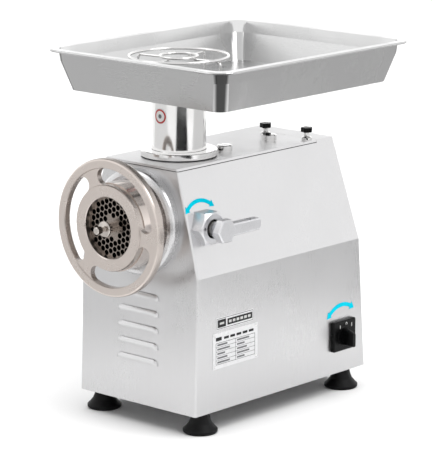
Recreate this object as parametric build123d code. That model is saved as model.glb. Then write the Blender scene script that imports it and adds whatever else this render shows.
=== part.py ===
from build123d import *
import math
import os

# Bench meat grinder, in millimetres.
# x runs across the machine, with the lever and switch on +x. y runs from front to back.
# z is up from the bench. While it is drawn, y = 0 is the top edge of the front panel;
# the finished pieces are moved so that the origin is under the middle of the machine.

# Sheet-metal housing
HOUSING_WIDTH = 222.0
TOP_WIDTH = 137.0
TOP_LENGTH = 332.0
FRONT_LEAN = 11.0
REAR_LEAN = 27.0
BOTTOM_Z = 30.0
FOLD_Z = 224.0
TOP_Z = 372.0
SHEET = 1.5
BEND = 3.5
FLANGE = 13.0
SEAM = 0.3
LID_LENGTH = 296.0
LID_RIM = 3.2
LID_SEAL = 1.0
LID_SEAL_SET_BACK = 0.7
BASE_SHEET = 2.0
BASE_RIM = 16.0

# Feed: tray, column and flange
THROAT_Y = 78.0
COLUMN_RADIUS = 38.2
COLUMN_WALL = 1.8
COLUMN_HOLE_GAP = 0.4
FLANGE_RADIUS = 54.0
FLANGE_HEIGHT = 9.0
GASKET = 1.0
TRAY_WIDTH = 343.0
TRAY_LENGTH = 416.5
TRAY_FRONT_Y = -23.0
TRAY_RIM_Z = 517.0
TRAY_DEPTH = 59.0
TRAY_SHEET = 1.2
TRAY_LIP = 12.0
TRAY_LIP_HEIGHT = 3.4
TRAY_BAND = 18.0
TRAY_BAND_LEAN = 3.0
TRAY_FLARE = 12.5
TRAY_CORNER = 31.5
TRAY_FLOOR_CORNER = 15.0
SPIGOT_LENGTH = 30.0
SPIGOT_WALL = 1.2
GUARD_RADIUS = 69.5
GUARD_INNER_RADIUS = 26.0
GUARD_WIRE = 2.1
GUARD_LEG = 1.9
GUARD_BEND = 6.0
GUARD_DROP = 4.5
GUARD_SPOKES = 4
GUARD_TURN = 10.0

# Grinding head, on an axis along y
AXIS_Z = 290.5
RUNNING = 0.05
CLEAR = 0.3
BARREL_RADIUS = 50.0
BARREL_BORE = 38.5
BARREL_REAR_Y = 122.0
BARREL_REAR_WALL = 6.0
MOUTH_RADIUS = 56.0
MOUTH_Y = -55.0
MOUTH_LENGTH = 35.0
THREAD_PITCH = 4.0
THREAD_DEPTH = 1.2
INLET_RADIUS = 34.0
PLATE_RADIUS = 50.0
PLATE_THICKNESS = 8.0
PLATE_PROUD = 2.0
PLATE_HOLE = 3.8
PLATE_PITCH = 8.5
PLATE_FIELD = 40.0
PLATE_HUB = 16.0
PLATE_TURN = 23.5
KNIFE_REACH = 46.0
KNIFE_THICKNESS = 7.5
SCREW_RADIUS = 37.0
SCREW_ROOT = 15.0
SCREW_PITCH = 46.0
FLIGHT = 7.0
SHANK_RADIUS = 15.0
TANG = 20.0
TANG_LENGTH = 22.0
STUD_RADIUS = 7.0
STUD_REACH = 33.0
STUD_COLLAR = 11.2
STUD_SCREW = 5.0
KNIFE_SQUARE = 22.0
KNIFE_HUB = 17.0
HEAD_PIN = 3.0
HEAD_PIN_SET = 4.0
HEAD_PIN_LENGTH = 10.0
PLATE_KEY = 2.5

# Ring nut with its hand wheel
WHEEL_RADIUS = 96.5
WHEEL_THICKNESS = 13.0
WHEEL_OPENING = 43.0
HUB_THICKNESS = 9.8
NUT_WALL = 5.7
NUT_LENGTH = 30.0
SLOT_INNER = 60.5
SLOT_OUTER = 83.0
SLOT_SPAN = 86.0
SLOT_ANGLES = (54.0, 174.0, -66.0)
RIM_STEP = 1.6

# Collar round the head's socket
COLLAR_RADIUS = 75.0
COLLAR_FRONT_Y = -18.0
COLLAR_BORE = 50.5
SOCKET_RADIUS = 58.0
SOCKET_FRONT_Y = -8.0
SOCKET_BORE = BARREL_RADIUS + RUNNING

# Gears
GEAR_PRESSURE = math.radians(20)
ADDENDUM = 0.8
DEDENDUM = 1.15
BACKLASH = 0.16
SLOW_MODULE = 2.5
SLOW_PINION_TEETH = 17
BULL_TEETH = 43
SLOW_FACE = 26.0
FAST_MODULE = 1.5
MOTOR_PINION_TEETH = 16
LAY_GEAR_TEETH = 48
FAST_FACE = 16.0
GEAR_ROOM = 4.0
CASE_WALL = 6.0
CHAMBER_Y = 151.0
GEAR_GAP = 3.0
COVER_THICKNESS = 11.0
BOLT_HEAD = 6.0
BOLT_HEAD_RADIUS = 5.0
BOLT_RADIUS = 3.0
LUG_RADIUS = 8.0
SEAL_RADIUS = 31.0
SEAL_DEPTH = 6.5
BULL_BORE = 18.0
LAY_CORE = 11.0
PINION_BORE = 7.0
ROTOR_BORE = 11.0
FAN_BORE = 6.0
BEARING_SHOULDER = 6.0

# Bearings: bore radius, outer radius, width
OUTPUT_BEARING = (20.0, 40.0, 18.0)
OUTPUT_REAR_BEARING = (12.5, 26.0, 15.0)
SMALL_BEARING = (8.5, 20.0, 12.0)
BEARING_BALLS = 9

# Motor
MOTOR_RADIUS = 62.0
MOTOR_WALL = 4.0
MOTOR_LENGTH = 72.0
SHIELD = 14.0
STATOR_LENGTH = 50.0
ROTOR_RADIUS = 38.5
AIR_GAP = 0.6
FAN_RADIUS = 47.0
FAN_COVER_DEPTH = 22.0
FAN_COVER_SHEET = 1.5
FAN_BLADES = 8
FAN_HUB = 14.0

# Clamping lever on the slanted side
LEVER_Y = 28.4
LEVER_SCREW = 8.0
BOSS_FLATS = 44.5
BOSS_FACE_RADIUS = 20.8
BOSS_CHAMFER = 4.6
BOSS_FACE_X = 110.0
BOSS_BORE = 13.5
BOSS_BORE_DEPTH = 12.0
BOSS_SPIGOT = 17.0
BOSS_PIN_HOLE = 2.0
LEVER_NECK = 10.8
LEVER_GAP = 3.0
LEVER_HUB = 18.0
LEVER_FACE_X = 136.0
LEVER_THICKNESS = 14.0
LEVER_REACH = 69.5
LEVER_ROOT_HEIGHT = 19.0
LEVER_TIP_HEIGHT = 17.5
LEVER_DIMPLE = 5.2
LEVER_DIMPLE_FROM_TIP = 21.0

# Rotary switch on the lower side
SWITCH_Y = 306.6
SWITCH_Z = 86.5
SWITCH_WIDTH = 50.0
SWITCH_HEIGHT = 45.0
SWITCH_PLATE = 6.5
SWITCH_SPINDLE = 4.0
SWITCH_BODY = 38.0
SWITCH_BODY_DEPTH = 46.0
SWITCH_DECKS = 3
SWITCH_DECK = 13.0
KNOB_BASE = 16.0
KNOB_REACH = 17.5
KNOB_STEP = 1.0

# Fittings on the top cover
KNOB_PLACES = ((-9.0, 274.0), (59.0, 286.0))
PLUG_PLACES = ((23.0, 148.0), (16.5, 252.0))
COVER_STUD = 3.0
COVER_STUD_LENGTH = 8.0
KNOB_SEAT_RADIUS = 7.5
KNOB_SEAT_HEIGHT = 5.0
PLUG_RADIUS = 11.0
PLUG_HEIGHT = 8.0
COVER_KNOB_RADIUS = 8.7
COVER_KNOB_LOBES = 5
COVER_KNOB_LOBE_RADIUS = 2.7
COVER_KNOB_NECK = 6.5
COVER_KNOB_HEIGHT = 6.5

# Front louvres
LOUVRE_WIDTH = 78.0
LOUVRE_LOWEST_Z = 90.0
LOUVRE_PITCH = 23.1
LOUVRES = 5
LOUVRE_HEIGHT = 9.0
LOUVRE_DEPTH = 4.2
LOUVRE_SHEET = 1.2

# Feet, name plates and cable gland
FOOT_X = 93.0
FOOT_FRONT_Y = 19.0
FOOT_REAR_SET_BACK = 31.0
FOOT_RADIUS = 24.5
FOOT_NECK = 12.5
FOOT_SCREW = 4.0
FOOT_SCREW_HEAD = 6.9
FOOT_HEAD_DEPTH = 9.0
FOOT_NUT = 7.5
FOOT_NUT_HEIGHT = 6.5
NAME_PLATE = (32.0, 110.0, 146.0, 163.0)
RATING_PLATE = (25.0, 119.0, 90.5, 141.5)
LABEL = 0.5
RIVET_RADIUS = 1.8
GLAND_X = -62.0
GLAND_Z = 66.0
GLAND_BORE = 4.5
GLAND_THREAD = 8.0
GLAND_HEX = 22.0
GLAND_REACH = 16.0
GLAND_INSIDE = 12.0

# Stand-off of the drive from the base
PEDESTAL_WIDTH = 92.0
PEDESTAL_SHEET = 4.0
PEDESTAL_FOOT = 16.0
SOLE_WIDTH = 60.0
SADDLE_WIDTH = 68.0
SADDLE_HEIGHT = 12.0

# Rear panel and base: screws and air slots
REAR_SCREWS = [(side * x, z) for side in (-1, 1) for x, z in ((102, 44), (102, 200), (68, 340))]
PANEL_SCREW = 2.0
PANEL_SCREW_HEAD = 3.8
VENT_ROWS = 7
VENT_PITCH = 12.0
VENT_LENGTH = 46.0
VENT_HEIGHT = 4.5
VENT_X = 34.0
VENT_LOWEST_Z = 140.0
BASE_VENT_ROWS = 6
BASE_VENT_Y = 240.0

# Capacitor and terminal block on the base
CAPACITOR_X = -76.0
CAPACITOR_RADIUS = 19.0
CAPACITOR_LENGTH = 78.0
CAPACITOR_RAISED = 22.0
CLIP_SHEET = 1.5
CLIP_WIDTH = 14.0
TERMINAL_X = 68.0
TERMINAL_Y = 190.0
TERMINAL_WIDTH = 20.0
TERMINAL_PITCH = 13.0
TERMINALS = 3

# Turning marks: radius, start and end angle, width of the band
LEVER_MARK = (37.0, 54.0, 131.0, 5.5)
SWITCH_MARK = (41.0, 62.0, 132.0, 6.0)
SWITCH_MARK_RAISED = 4.0
SIGN_RADIUS = 10.5
SIGN_THICKNESS = 0.6
SIGN_RAISED = 12.0

# Places that follow from the sizes above
SLOPE = (HOUSING_WIDTH - TOP_WIDTH) / 2 / (TOP_Z - FOLD_Z)
SLANT = math.hypot(1, SLOPE)
EDGE_Z = TOP_Z - LID_RIM - LID_SEAL
TRAY_FLOOR_Z = TRAY_RIM_Z - TRAY_DEPTH
COLUMN_BORE = COLUMN_RADIUS - COLUMN_WALL
SPIGOT_RADIUS = COLUMN_BORE - CLEAR
PLATE_FRONT_Y = MOUTH_Y - PLATE_PROUD
PLATE_REAR_Y = PLATE_FRONT_Y + PLATE_THICKNESS
KNIFE_REAR_Y = PLATE_REAR_Y + RUNNING + KNIFE_THICKNESS
SCREW_REAR_Y = BARREL_REAR_Y - BARREL_REAR_WALL - 1.0
HUB_REAR_Y = PLATE_FRONT_Y - CLEAR
WHEEL_FRONT_Y = HUB_REAR_Y - HUB_THICKNESS
NUT_BORE = MOUTH_RADIUS + CLEAR
NUT_RADIUS = NUT_BORE + NUT_WALL
STUD_TIP_Y = PLATE_FRONT_Y - STUD_REACH
LAY_Z = AXIS_Z - SLOW_MODULE * (SLOW_PINION_TEETH + BULL_TEETH) / 2
MOTOR_Z = LAY_Z - FAST_MODULE * (MOTOR_PINION_TEETH + LAY_GEAR_TEETH) / 2
SLOW_Y = CHAMBER_Y + GEAR_GAP
FAST_Y = SLOW_Y + SLOW_FACE + GEAR_GAP + 1.0
COVER_Y = FAST_Y + FAST_FACE + GEAR_GAP + 2.0
MOTOR_Y = COVER_Y + COVER_THICKNESS
CASING_Y = MOTOR_Y + SHIELD
CASING_END_Y = CASING_Y + MOTOR_LENGTH
SHIELD_END_Y = CASING_END_Y + SHIELD
SOCKET_END_Y = BARREL_REAR_Y + 1.0
SHAFT_FRONT_Y = SOCKET_END_Y + 3.0
FOOT_REAR_Y = TOP_LENGTH + REAR_LEAN - FOOT_REAR_SET_BACK
CENTRE_Y = (STUD_TIP_Y + TRAY_FRONT_Y + TRAY_LENGTH) / 2


def block(x, y, z):
    """A box from its lowest and highest x, y and z."""
    spans = (x, y, z)
    middle = [(low + high) / 2 for low, high in spans]
    return Pos(*middle) * Box(*[high - low for low, high in spans])


def rod_x(radius, x, y, z):
    return Pos((x[0] + x[1]) / 2, y, z) * Rot(0, 90, 0) * Cylinder(radius, x[1] - x[0])


def rod_y(radius, y, x=0.0, z=AXIS_Z):
    return Pos(x, (y[0] + y[1]) / 2, z) * Rot(90, 0, 0) * Cylinder(radius, y[1] - y[0])


def rod_z(radius, z, x, y):
    return Pos(x, y, (z[0] + z[1]) / 2) * Cylinder(radius, z[1] - z[0])


def tube_y(outer, inner, y, x=0.0, z=AXIS_Z):
    return rod_y(outer, y, x, z) - rod_y(inner, (y[0] - 1, y[1] + 1), x, z)


def turned_x(profile, y, z):
    """A turned piece about an axis along x, from points (x, radius)."""
    face = make_face(Polyline(*profile, close=True))
    return Pos(0, y, z) * revolve(face, Axis.X, 360)


def turned_y(profile, z=AXIS_Z):
    """A turned piece about an axis along y, from points (y, radius)."""
    face = make_face(Polyline(*[(radius, y) for y, radius in profile], close=True))
    return Pos(0, 0, z) * revolve(face, Axis.Y, 360)


def turned_z(profile, x=0.0, y=0.0):
    """A turned piece about an upright axis, from points (radius, z)."""
    face = Plane.XZ * make_face(Polyline(*profile, close=True))
    return Pos(x, y, 0) * revolve(face, Axis.Z, 360)


def group(solids):
    """Separate solids kept together under one name."""
    return Compound(children=list(solids))


def spread(radius, count, start=0.0):
    """Evenly spaced points round a circle, as pairs."""
    turns = [math.radians(start + 360 * i / count) for i in range(count)]
    return [(radius * math.cos(a), radius * math.sin(a)) for a in turns]


# ---------------------------------------------------------------- housing

def front_y(z):
    return -FRONT_LEAN * (TOP_Z - z) / (TOP_Z - BOTTOM_Z)


def rear_y(z):
    return TOP_LENGTH + REAR_LEAN * (TOP_Z - z) / (TOP_Z - BOTTOM_Z)


def upper_x(z):
    return HOUSING_WIDTH / 2 - SLOPE * (z - FOLD_Z)


def form(inset=0.0, low=BOTTOM_Z, high=TOP_Z, front=0.0, rear=0.0, bend=0.0):
    """The housing's outline as a solid, with its sides, front and rear set in."""
    fold = FOLD_Z - inset * (SLANT - 1) / SLOPE
    levels = [low, fold, high] if low < fold < high else [low, high]
    upright_x = HOUSING_WIDTH / 2 - inset
    right = [(min(upright_x, upper_x(z) - inset * SLANT), z) for z in levels]
    left = [(-x, z) for x, z in reversed(right)]
    across = make_face(Polyline(*right, *left, close=True))
    ends = make_face(Polyline(
        (front_y(low) + front, low), (front_y(high) + front, high),
        (rear_y(high) - rear, high), (rear_y(low) - rear, low), close=True))
    reach = TOP_LENGTH + REAR_LEAN + 50
    body = extrude(Plane.XZ * across, reach, both=True)
    body = body & extrude(Plane.YZ * ends, HOUSING_WIDTH, both=True)
    if bend:
        upright = [e for e in body.edges() if abs(e.tangent_at(0).X) < 0.9]
        corners = [e for e in upright if e.center().Y < front + 1]
        level = [e for e in body.edges() if abs(e.tangent_at(0).Y) > 0.99]
        folds = [e for e in level if abs(e.center().Z - fold) < 1]
        body = fillet(corners + folds, bend)
    return body


def capsule(half_length, height, depth):
    """A bar along x with round ends, flattened to a height and a depth about its axis."""
    body = rod_x(height, (-half_length, half_length), 0, 0)
    for side in (-1, 1):
        body = body + Pos(side * half_length, 0, 0) * Sphere(height)
    return scale(body, by=(1, depth / height, 1))


def louvre(z):
    """A pressed hood, open downwards, and the cut behind it."""
    y = front_y(z)
    ends = LOUVRE_WIDTH / 2 - LOUVRE_HEIGHT
    thin = LOUVRE_SHEET
    across = (-LOUVRE_WIDTH, LOUVRE_WIDTH)
    outer = Pos(0, y, z) * capsule(ends, LOUVRE_HEIGHT, LOUVRE_DEPTH)
    inner = Pos(0, y, z) * capsule(ends, LOUVRE_HEIGHT - thin, LOUVRE_DEPTH - thin)
    hood = (outer - inner) & block(across, (y - 20, y + SHEET / 2), (z, z + 20))
    cut = inner & block(across, (y - 20, y + 20), (z, z + 20))
    return hood, cut


def housing_shell():
    """Front panel, upright sides and slanted sides, folded from one sheet."""
    shell = form(high=TOP_Z - SHEET, rear=SHEET, bend=BEND)
    shell = shell - form(SHEET, BOTTOM_Z - 10, TOP_Z + 10, SHEET, -10, BEND - SHEET)
    shell = shell - block((-200, 200), (-50, LID_LENGTH), (EDGE_Z, TOP_Z + 1))
    ledge = form(SHEET / 2, EDGE_Z - SHEET, EDGE_Z, SHEET / 2, SHEET)
    ledge = ledge - form(SHEET + FLANGE, EDGE_Z - 9, EDGE_Z + 9, SHEET + FLANGE, -20)
    shell = shell + (ledge & block((-200, 200), (-50, LID_LENGTH), (0, TOP_Z)))
    flange = form(SHEET / 2, BOTTOM_Z, TOP_Z - SHEET, 0, SHEET)
    flange = flange - form(SHEET / 2, BOTTOM_Z - 1, TOP_Z, -1, 2 * SHEET)
    flange = flange - form(SHEET + FLANGE, BOTTOM_Z - 10, TOP_Z - SHEET - FLANGE, 0, -10)
    shell = shell + flange
    for i in range(LOUVRES):
        hood, cut = louvre(LOUVRE_LOWEST_Z + i * LOUVRE_PITCH)
        shell = shell - cut + hood
    for x, y in KNOB_PLACES + PLUG_PLACES:
        shell = shell - rod_z(COVER_STUD + RUNNING, (EDGE_Z - 9, TOP_Z), x, y)
    shell = shell - rod_y(SOCKET_RADIUS + SEAM, (-60, 30))
    shell = shell - rod_x(BOSS_SPIGOT + SEAM, (60, 130), LEVER_Y, AXIS_Z)
    shell = shell - rod_x(SWITCH_SPINDLE + 6, (80, 130), SWITCH_Y, SWITCH_Z)
    return shell


def top_cover():
    """Lid over the front part of the housing, with a folded rim."""
    length = (-50, LID_LENGTH - SEAM)
    lid = form(high=TOP_Z, bend=BEND) & block((-200, 200), length, (TOP_Z - LID_RIM, TOP_Z))
    hollow = form(SHEET, BOTTOM_Z, TOP_Z + 10, SHEET, -10, BEND - SHEET)
    lid = lid - (hollow & block((-200, 200), (-50, LID_LENGTH - SHEET), (0, TOP_Z - SHEET)))
    lid = lid - rod_z(COLUMN_RADIUS + COLUMN_HOLE_GAP, (TOP_Z - 10, TOP_Z + 10), 0, THROAT_Y)
    for x, y in KNOB_PLACES + PLUG_PLACES:
        lid = lid - rod_z(COVER_STUD + RUNNING, (TOP_Z - 10, TOP_Z + 10), x, y)
    return lid


def lid_seal():
    """Rubber strip between the lid's rim and the ledge under it."""
    low, high = EDGE_Z, EDGE_Z + LID_SEAL
    strip = form(LID_SEAL_SET_BACK, low, high, LID_SEAL_SET_BACK)
    strip = strip - form(FLANGE - 4, low - 1, high + 1, FLANGE - 4, -20)
    for x, y in KNOB_PLACES + PLUG_PLACES:
        strip = strip - rod_z(COVER_STUD + RUNNING, (low - 1, high + 1), x, y)
    return strip & block((-200, 200), (-50, LID_LENGTH - 2), (0, TOP_Z))


def on_rear(x, z):
    """A plane on the rear panel's outer face, its z axis pointing out."""
    normal = (0, TOP_Z - BOTTOM_Z, REAR_LEAN)
    return Plane(origin=(x, rear_y(z), z), x_dir=(1, 0, 0), z_dir=normal)


def rear_panel():
    """Back of the housing, folded over at the top to meet the lid."""
    panel = form() - form(low=BOTTOM_Z - 1, high=TOP_Z - SHEET, inset=-1, front=-9, rear=SHEET)
    panel = panel - block((-200, 200), (-50, LID_LENGTH), (0, TOP_Z + 1))
    for row in range(VENT_ROWS):
        for side in (-1, 1):
            place = on_rear(side * VENT_X, VENT_LOWEST_Z + row * VENT_PITCH)
            slot = extrude(place * SlotOverall(VENT_LENGTH, VENT_HEIGHT), 5, both=True)
            panel = panel - slot
    panel = panel - extrude(on_rear(GLAND_X, GLAND_Z) * Circle(GLAND_THREAD + RUNNING), 5, both=True)
    for x, z in REAR_SCREWS:
        panel = panel - extrude(on_rear(x, z) * Circle(PANEL_SCREW + RUNNING), SHEET + 0.1, both=True)
    return panel


def pan_head(place):
    """A cross-recessed pan-head screw, its head standing on a plane."""
    head = extrude(place * Circle(PANEL_SCREW_HEAD), 2.4)
    cross = extrude(place.offset(1.3) * (Rectangle(4.4, 1.0) + Rectangle(1.0, 4.4)), 2)
    shank = extrude(place * Circle(PANEL_SCREW), -SHEET)
    return head - cross + shank


def base_plate():
    """Shallow pan that closes the housing underneath and carries the feet."""
    side, front, rear = SHEET + SEAM, SHEET + SEAM, 2 * SHEET + SEAM
    pan = form(side, BOTTOM_Z, BOTTOM_Z + BASE_RIM, front, rear, BEND - side)
    inner = form(side + BASE_SHEET, BOTTOM_Z + BASE_SHEET, BOTTOM_Z + BASE_RIM + 1,
                 front + BASE_SHEET, rear + BASE_SHEET)
    pan = pan - inner
    for x, y in foot_places():
        pan = pan - rod_z(FOOT_SCREW + RUNNING, (BOTTOM_Z - 1, BOTTOM_Z + 9), x, y)
    for row in range(BASE_VENT_ROWS):
        for side in (-1, 1):
            place = Pos(side * VENT_X, BASE_VENT_Y + row * VENT_PITCH, BOTTOM_Z - 1)
            pan = pan - extrude(place * SlotOverall(VENT_LENGTH, VENT_HEIGHT), 9)
    return pan


# ---------------------------------------------------------------- feet

def foot_places():
    return [(x, y) for x in (-FOOT_X, FOOT_X) for y in (FOOT_FRONT_Y, FOOT_REAR_Y)]


def foot(x, y):
    """Flared rubber foot with a counterbore for its screw's head."""
    outline = [(0, 0), (FOOT_RADIUS - 2, 0), (FOOT_RADIUS, 2), (FOOT_RADIUS, 5),
               (FOOT_RADIUS - 4, 9), (FOOT_RADIUS - 8, 14), (FOOT_NECK + 1.5, 20),
               (FOOT_NECK, BOTTOM_Z - 3), (FOOT_NECK, BOTTOM_Z), (0, BOTTOM_Z)]
    body = turned_z(outline, x, y)
    body = body - rod_z(FOOT_SCREW_HEAD + 2 * CLEAR, (-1, FOOT_HEAD_DEPTH), x, y)
    return body - rod_z(FOOT_SCREW + RUNNING, (5, BOTTOM_Z + 1), x, y)


def foot_screw(x, y):
    low = FOOT_HEAD_DEPTH - 5
    head = Pos(x, y, low) * extrude(RegularPolygon(FOOT_SCREW_HEAD, 6), 5)
    return head + rod_z(FOOT_SCREW, (FOOT_HEAD_DEPTH, BOTTOM_Z + 12), x, y)


def foot_nut(x, y):
    low = BOTTOM_Z + BASE_SHEET
    nut = Pos(x, y, low) * extrude(RegularPolygon(FOOT_NUT, 6), FOOT_NUT_HEIGHT)
    return nut - rod_z(FOOT_SCREW, (low - 1, low + 9), x, y)


# ---------------------------------------------------------------- feed


def throat_flange():
    """Plain polished disc round the column, with broken edges."""
    low, high = TOP_Z + GASKET, TOP_Z + GASKET + FLANGE_HEIGHT
    bore, outer = COLUMN_RADIUS + COLUMN_HOLE_GAP, FLANGE_RADIUS
    ring = [(bore, low), (outer - 0.6, low), (outer, low + 0.6), (outer, high - 0.9),
            (outer - 0.9, high), (bore + 1.2, high), (bore, high - 0.6)]
    return turned_z(ring, 0, THROAT_Y)


def throat_gasket():
    ring = rod_z(FLANGE_RADIUS - 1.5, (TOP_Z, TOP_Z + GASKET), 0, THROAT_Y)
    return ring - rod_z(COLUMN_RADIUS + 1, (TOP_Z - 1, TOP_Z + 9), 0, THROAT_Y)


def feed_column():
    """Plain tube whose foot is cut to sit over the barrel."""
    low, high = AXIS_Z + 20, TRAY_FLOOR_Z - CLEAR
    tube = rod_z(COLUMN_RADIUS, (low, high), 0, THROAT_Y)
    tube = tube - rod_z(COLUMN_BORE, (low - 1, high + 1), 0, THROAT_Y)
    return tube - rod_y(BARREL_RADIUS + CLEAR, (THROAT_Y - 60, THROAT_Y + 60))


def column_sign():
    """Round enamel disc on the front of the column."""
    z = (TOP_Z + GASKET + FLANGE_HEIGHT + TRAY_FLOOR_Z) / 2 + SIGN_RAISED
    span = (z - 2 * SIGN_RADIUS, z + 2 * SIGN_RADIUS)
    sleeve = rod_z(COLUMN_RADIUS + SIGN_THICKNESS, span, 0, THROAT_Y)
    sleeve = sleeve - rod_z(COLUMN_RADIUS, (span[0] - 1, span[1] + 1), 0, THROAT_Y)
    return sleeve & rod_y(SIGN_RADIUS, (0, THROAT_Y), 0, z)


def tray_level(inset, z, corner):
    """A rounded rectangle, set in from the tray's outer edge, at one height."""
    outline = RectangleRounded(TRAY_WIDTH - 2 * inset, TRAY_LENGTH - 2 * inset, corner)
    return Plane.XY.offset(z) * Pos(0, TRAY_FRONT_Y + TRAY_LENGTH / 2) * outline


def feed_tray():
    """Pressed pan: flat rolled lip, upright band, sloping walls, flat floor and spigot."""
    band_z = TRAY_RIM_Z - TRAY_BAND
    lip = extrude(tray_level(0, TRAY_RIM_Z - TRAY_LIP_HEIGHT, TRAY_CORNER), TRAY_LIP_HEIGHT)
    lip_edges = lip.edges().group_by(Axis.Z)
    lip = fillet(lip_edges[0] + lip_edges[-1], TRAY_LIP_HEIGHT / 2 - 0.1)

    def bowl(thin, floor_z, top_z):
        rim_inset = TRAY_LIP + thin
        fold_inset = rim_inset + TRAY_BAND_LEAN
        fold = tray_level(fold_inset, band_z, TRAY_CORNER - fold_inset)
        band = loft([fold, tray_level(rim_inset, top_z, TRAY_CORNER - rim_inset)])
        floor = tray_level(fold_inset + TRAY_FLARE, floor_z, TRAY_FLOOR_CORNER - thin)
        return band + loft([floor, fold])

    pan = bowl(0, TRAY_FLOOR_Z, TRAY_RIM_Z - 1) + lip
    pan = pan - bowl(TRAY_SHEET, TRAY_FLOOR_Z + TRAY_SHEET, TRAY_RIM_Z + 1)
    low = TRAY_FLOOR_Z - SPIGOT_LENGTH
    pan = pan + rod_z(SPIGOT_RADIUS, (low, TRAY_FLOOR_Z + TRAY_SHEET / 2), 0, THROAT_Y)
    return pan - rod_z(SPIGOT_RADIUS - SPIGOT_WALL, (low - 1, TRAY_RIM_Z), 0, THROAT_Y)


def guard():
    """Wire hand guard: two rings, spokes under them, and legs down to the tray's floor."""
    ring_z = TRAY_RIM_Z - GUARD_DROP
    foot_z = TRAY_FLOOR_Z + TRAY_SHEET + CLEAR
    spoke_z = ring_z - 1.5 * GUARD_WIRE
    rings = Torus(GUARD_RADIUS, GUARD_WIRE) + Torus(GUARD_INNER_RADIUS, GUARD_WIRE)
    wires = Pos(0, 0, ring_z) * Rot(0, 0, GUARD_TURN + 180 / GUARD_SPOKES) * rings
    leg_radius = GUARD_RADIUS - GUARD_BEND / 4
    bent = FilletPolyline(
        (GUARD_INNER_RADIUS, 0, spoke_z),
        (leg_radius, 0, spoke_z),
        (leg_radius, 0, foot_z),
        radius=GUARD_BEND,
    )
    leg = sweep(Plane(origin=bent @ 0, z_dir=bent % 0) * Circle(GUARD_LEG), path=bent)
    for i in range(GUARD_SPOKES):
        wires = wires + Rot(0, 0, GUARD_TURN + 360 * i / GUARD_SPOKES) * leg
    return Pos(0, THROAT_Y, 0) * wires


# ---------------------------------------------------------------- grinding head

def head_barrel():
    """Barrel with a threaded mouth, the plate's seat and the inlet under the column."""
    seat_y = KNIFE_REAR_Y + 0.5
    step_y = MOUTH_Y + MOUTH_LENGTH
    seat = PLATE_RADIUS + RUNNING
    outside = [(MOUTH_Y, 0), (MOUTH_Y, MOUTH_RADIUS - 1), (MOUTH_Y + 1, MOUTH_RADIUS),
               (step_y, MOUTH_RADIUS), (step_y + 3, BARREL_RADIUS),
               (BARREL_REAR_Y - 1.5, BARREL_RADIUS), (BARREL_REAR_Y, BARREL_RADIUS - 1.5),
               (BARREL_REAR_Y, 0)]
    bore_end = BARREL_REAR_Y - BARREL_REAR_WALL
    inside = [(MOUTH_Y - 1, 0), (MOUTH_Y - 1, seat), (seat_y, seat), (seat_y, BARREL_BORE),
              (bore_end, BARREL_BORE), (bore_end, 0)]
    barrel = turned_y(outside) - turned_y(inside)
    barrel = barrel - rod_y(SHANK_RADIUS + RUNNING, (BARREL_REAR_Y - 20, BARREL_REAR_Y + 1))
    for i in range(6):
        y = MOUTH_Y + 3 + i * THREAD_PITCH
        low = MOUTH_RADIUS - THREAD_DEPTH
        groove = [(y, MOUTH_RADIUS + 1), (y + 0.7, low), (y + 1.3, low), (y + 2, MOUTH_RADIUS + 1)]
        barrel = barrel - turned_y(groove)
    barrel = barrel - rod_z(INLET_RADIUS, (AXIS_Z, AXIS_Z + 80), 0, THROAT_Y)
    pin_x, pin_z = head_pin_place()
    barrel = barrel - rod_y(HEAD_PIN, (BARREL_REAR_Y - HEAD_PIN_SET, BARREL_REAR_Y + 1), pin_x, pin_z)
    return barrel - plate_key(RUNNING)


def head_pin_place():
    return 0.0, AXIS_Z - (BARREL_RADIUS + BARREL_BORE) / 2


def head_pin():
    """Dowel in the barrel's back that keeps it from turning in the socket."""
    x, z = head_pin_place()
    start = BARREL_REAR_Y - HEAD_PIN_SET
    return rod_y(HEAD_PIN, (start, start + HEAD_PIN_LENGTH), x, z)


def plate_key(gap=0.0):
    """Small key at the bottom of the mouth that stops the plate from turning."""
    length = (MOUTH_Y - gap, PLATE_REAR_Y - 1 + gap)
    return rod_y(PLATE_KEY + gap, length, 0, AXIS_Z - PLATE_RADIUS)


def perforated_plate():
    disc = rod_y(PLATE_RADIUS, (PLATE_FRONT_Y, PLATE_REAR_Y))
    row_step = PLATE_PITCH * math.sqrt(3) / 2
    rows = range(-int(PLATE_FIELD / row_step), int(PLATE_FIELD / row_step) + 1)
    columns = range(-int(PLATE_FIELD / PLATE_PITCH) - 1, int(PLATE_FIELD / PLATE_PITCH) + 2)
    spots = [((c + (r % 2) / 2) * PLATE_PITCH, r * row_step) for r in rows for c in columns]
    field = [p for p in spots if PLATE_HUB < math.hypot(*p) < PLATE_FIELD]
    holes = Sketch() + [Pos(x, z) * Circle(PLATE_HOLE) for x, z in field]
    holes = Rot(0, 0, PLATE_TURN) * holes
    disc = disc - Pos(0, 0, AXIS_Z) * extrude(Plane.XZ * holes, 80)
    disc = disc - rod_y(STUD_RADIUS + RUNNING, (PLATE_FRONT_Y - 1, PLATE_REAR_Y + 1))
    return disc - plate_key(RUNNING)


def along_y(piece):
    """Turns a piece drawn up the z axis so that it runs back along the head's axis."""
    return Pos(0, 0, AXIS_Z) * Rot(-90, 0, 0) * piece


def square_bar(half, y):
    """A square bar along the head's axis."""
    return block((-half, half), y, (AXIS_Z - half, AXIS_Z + half))


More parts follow.
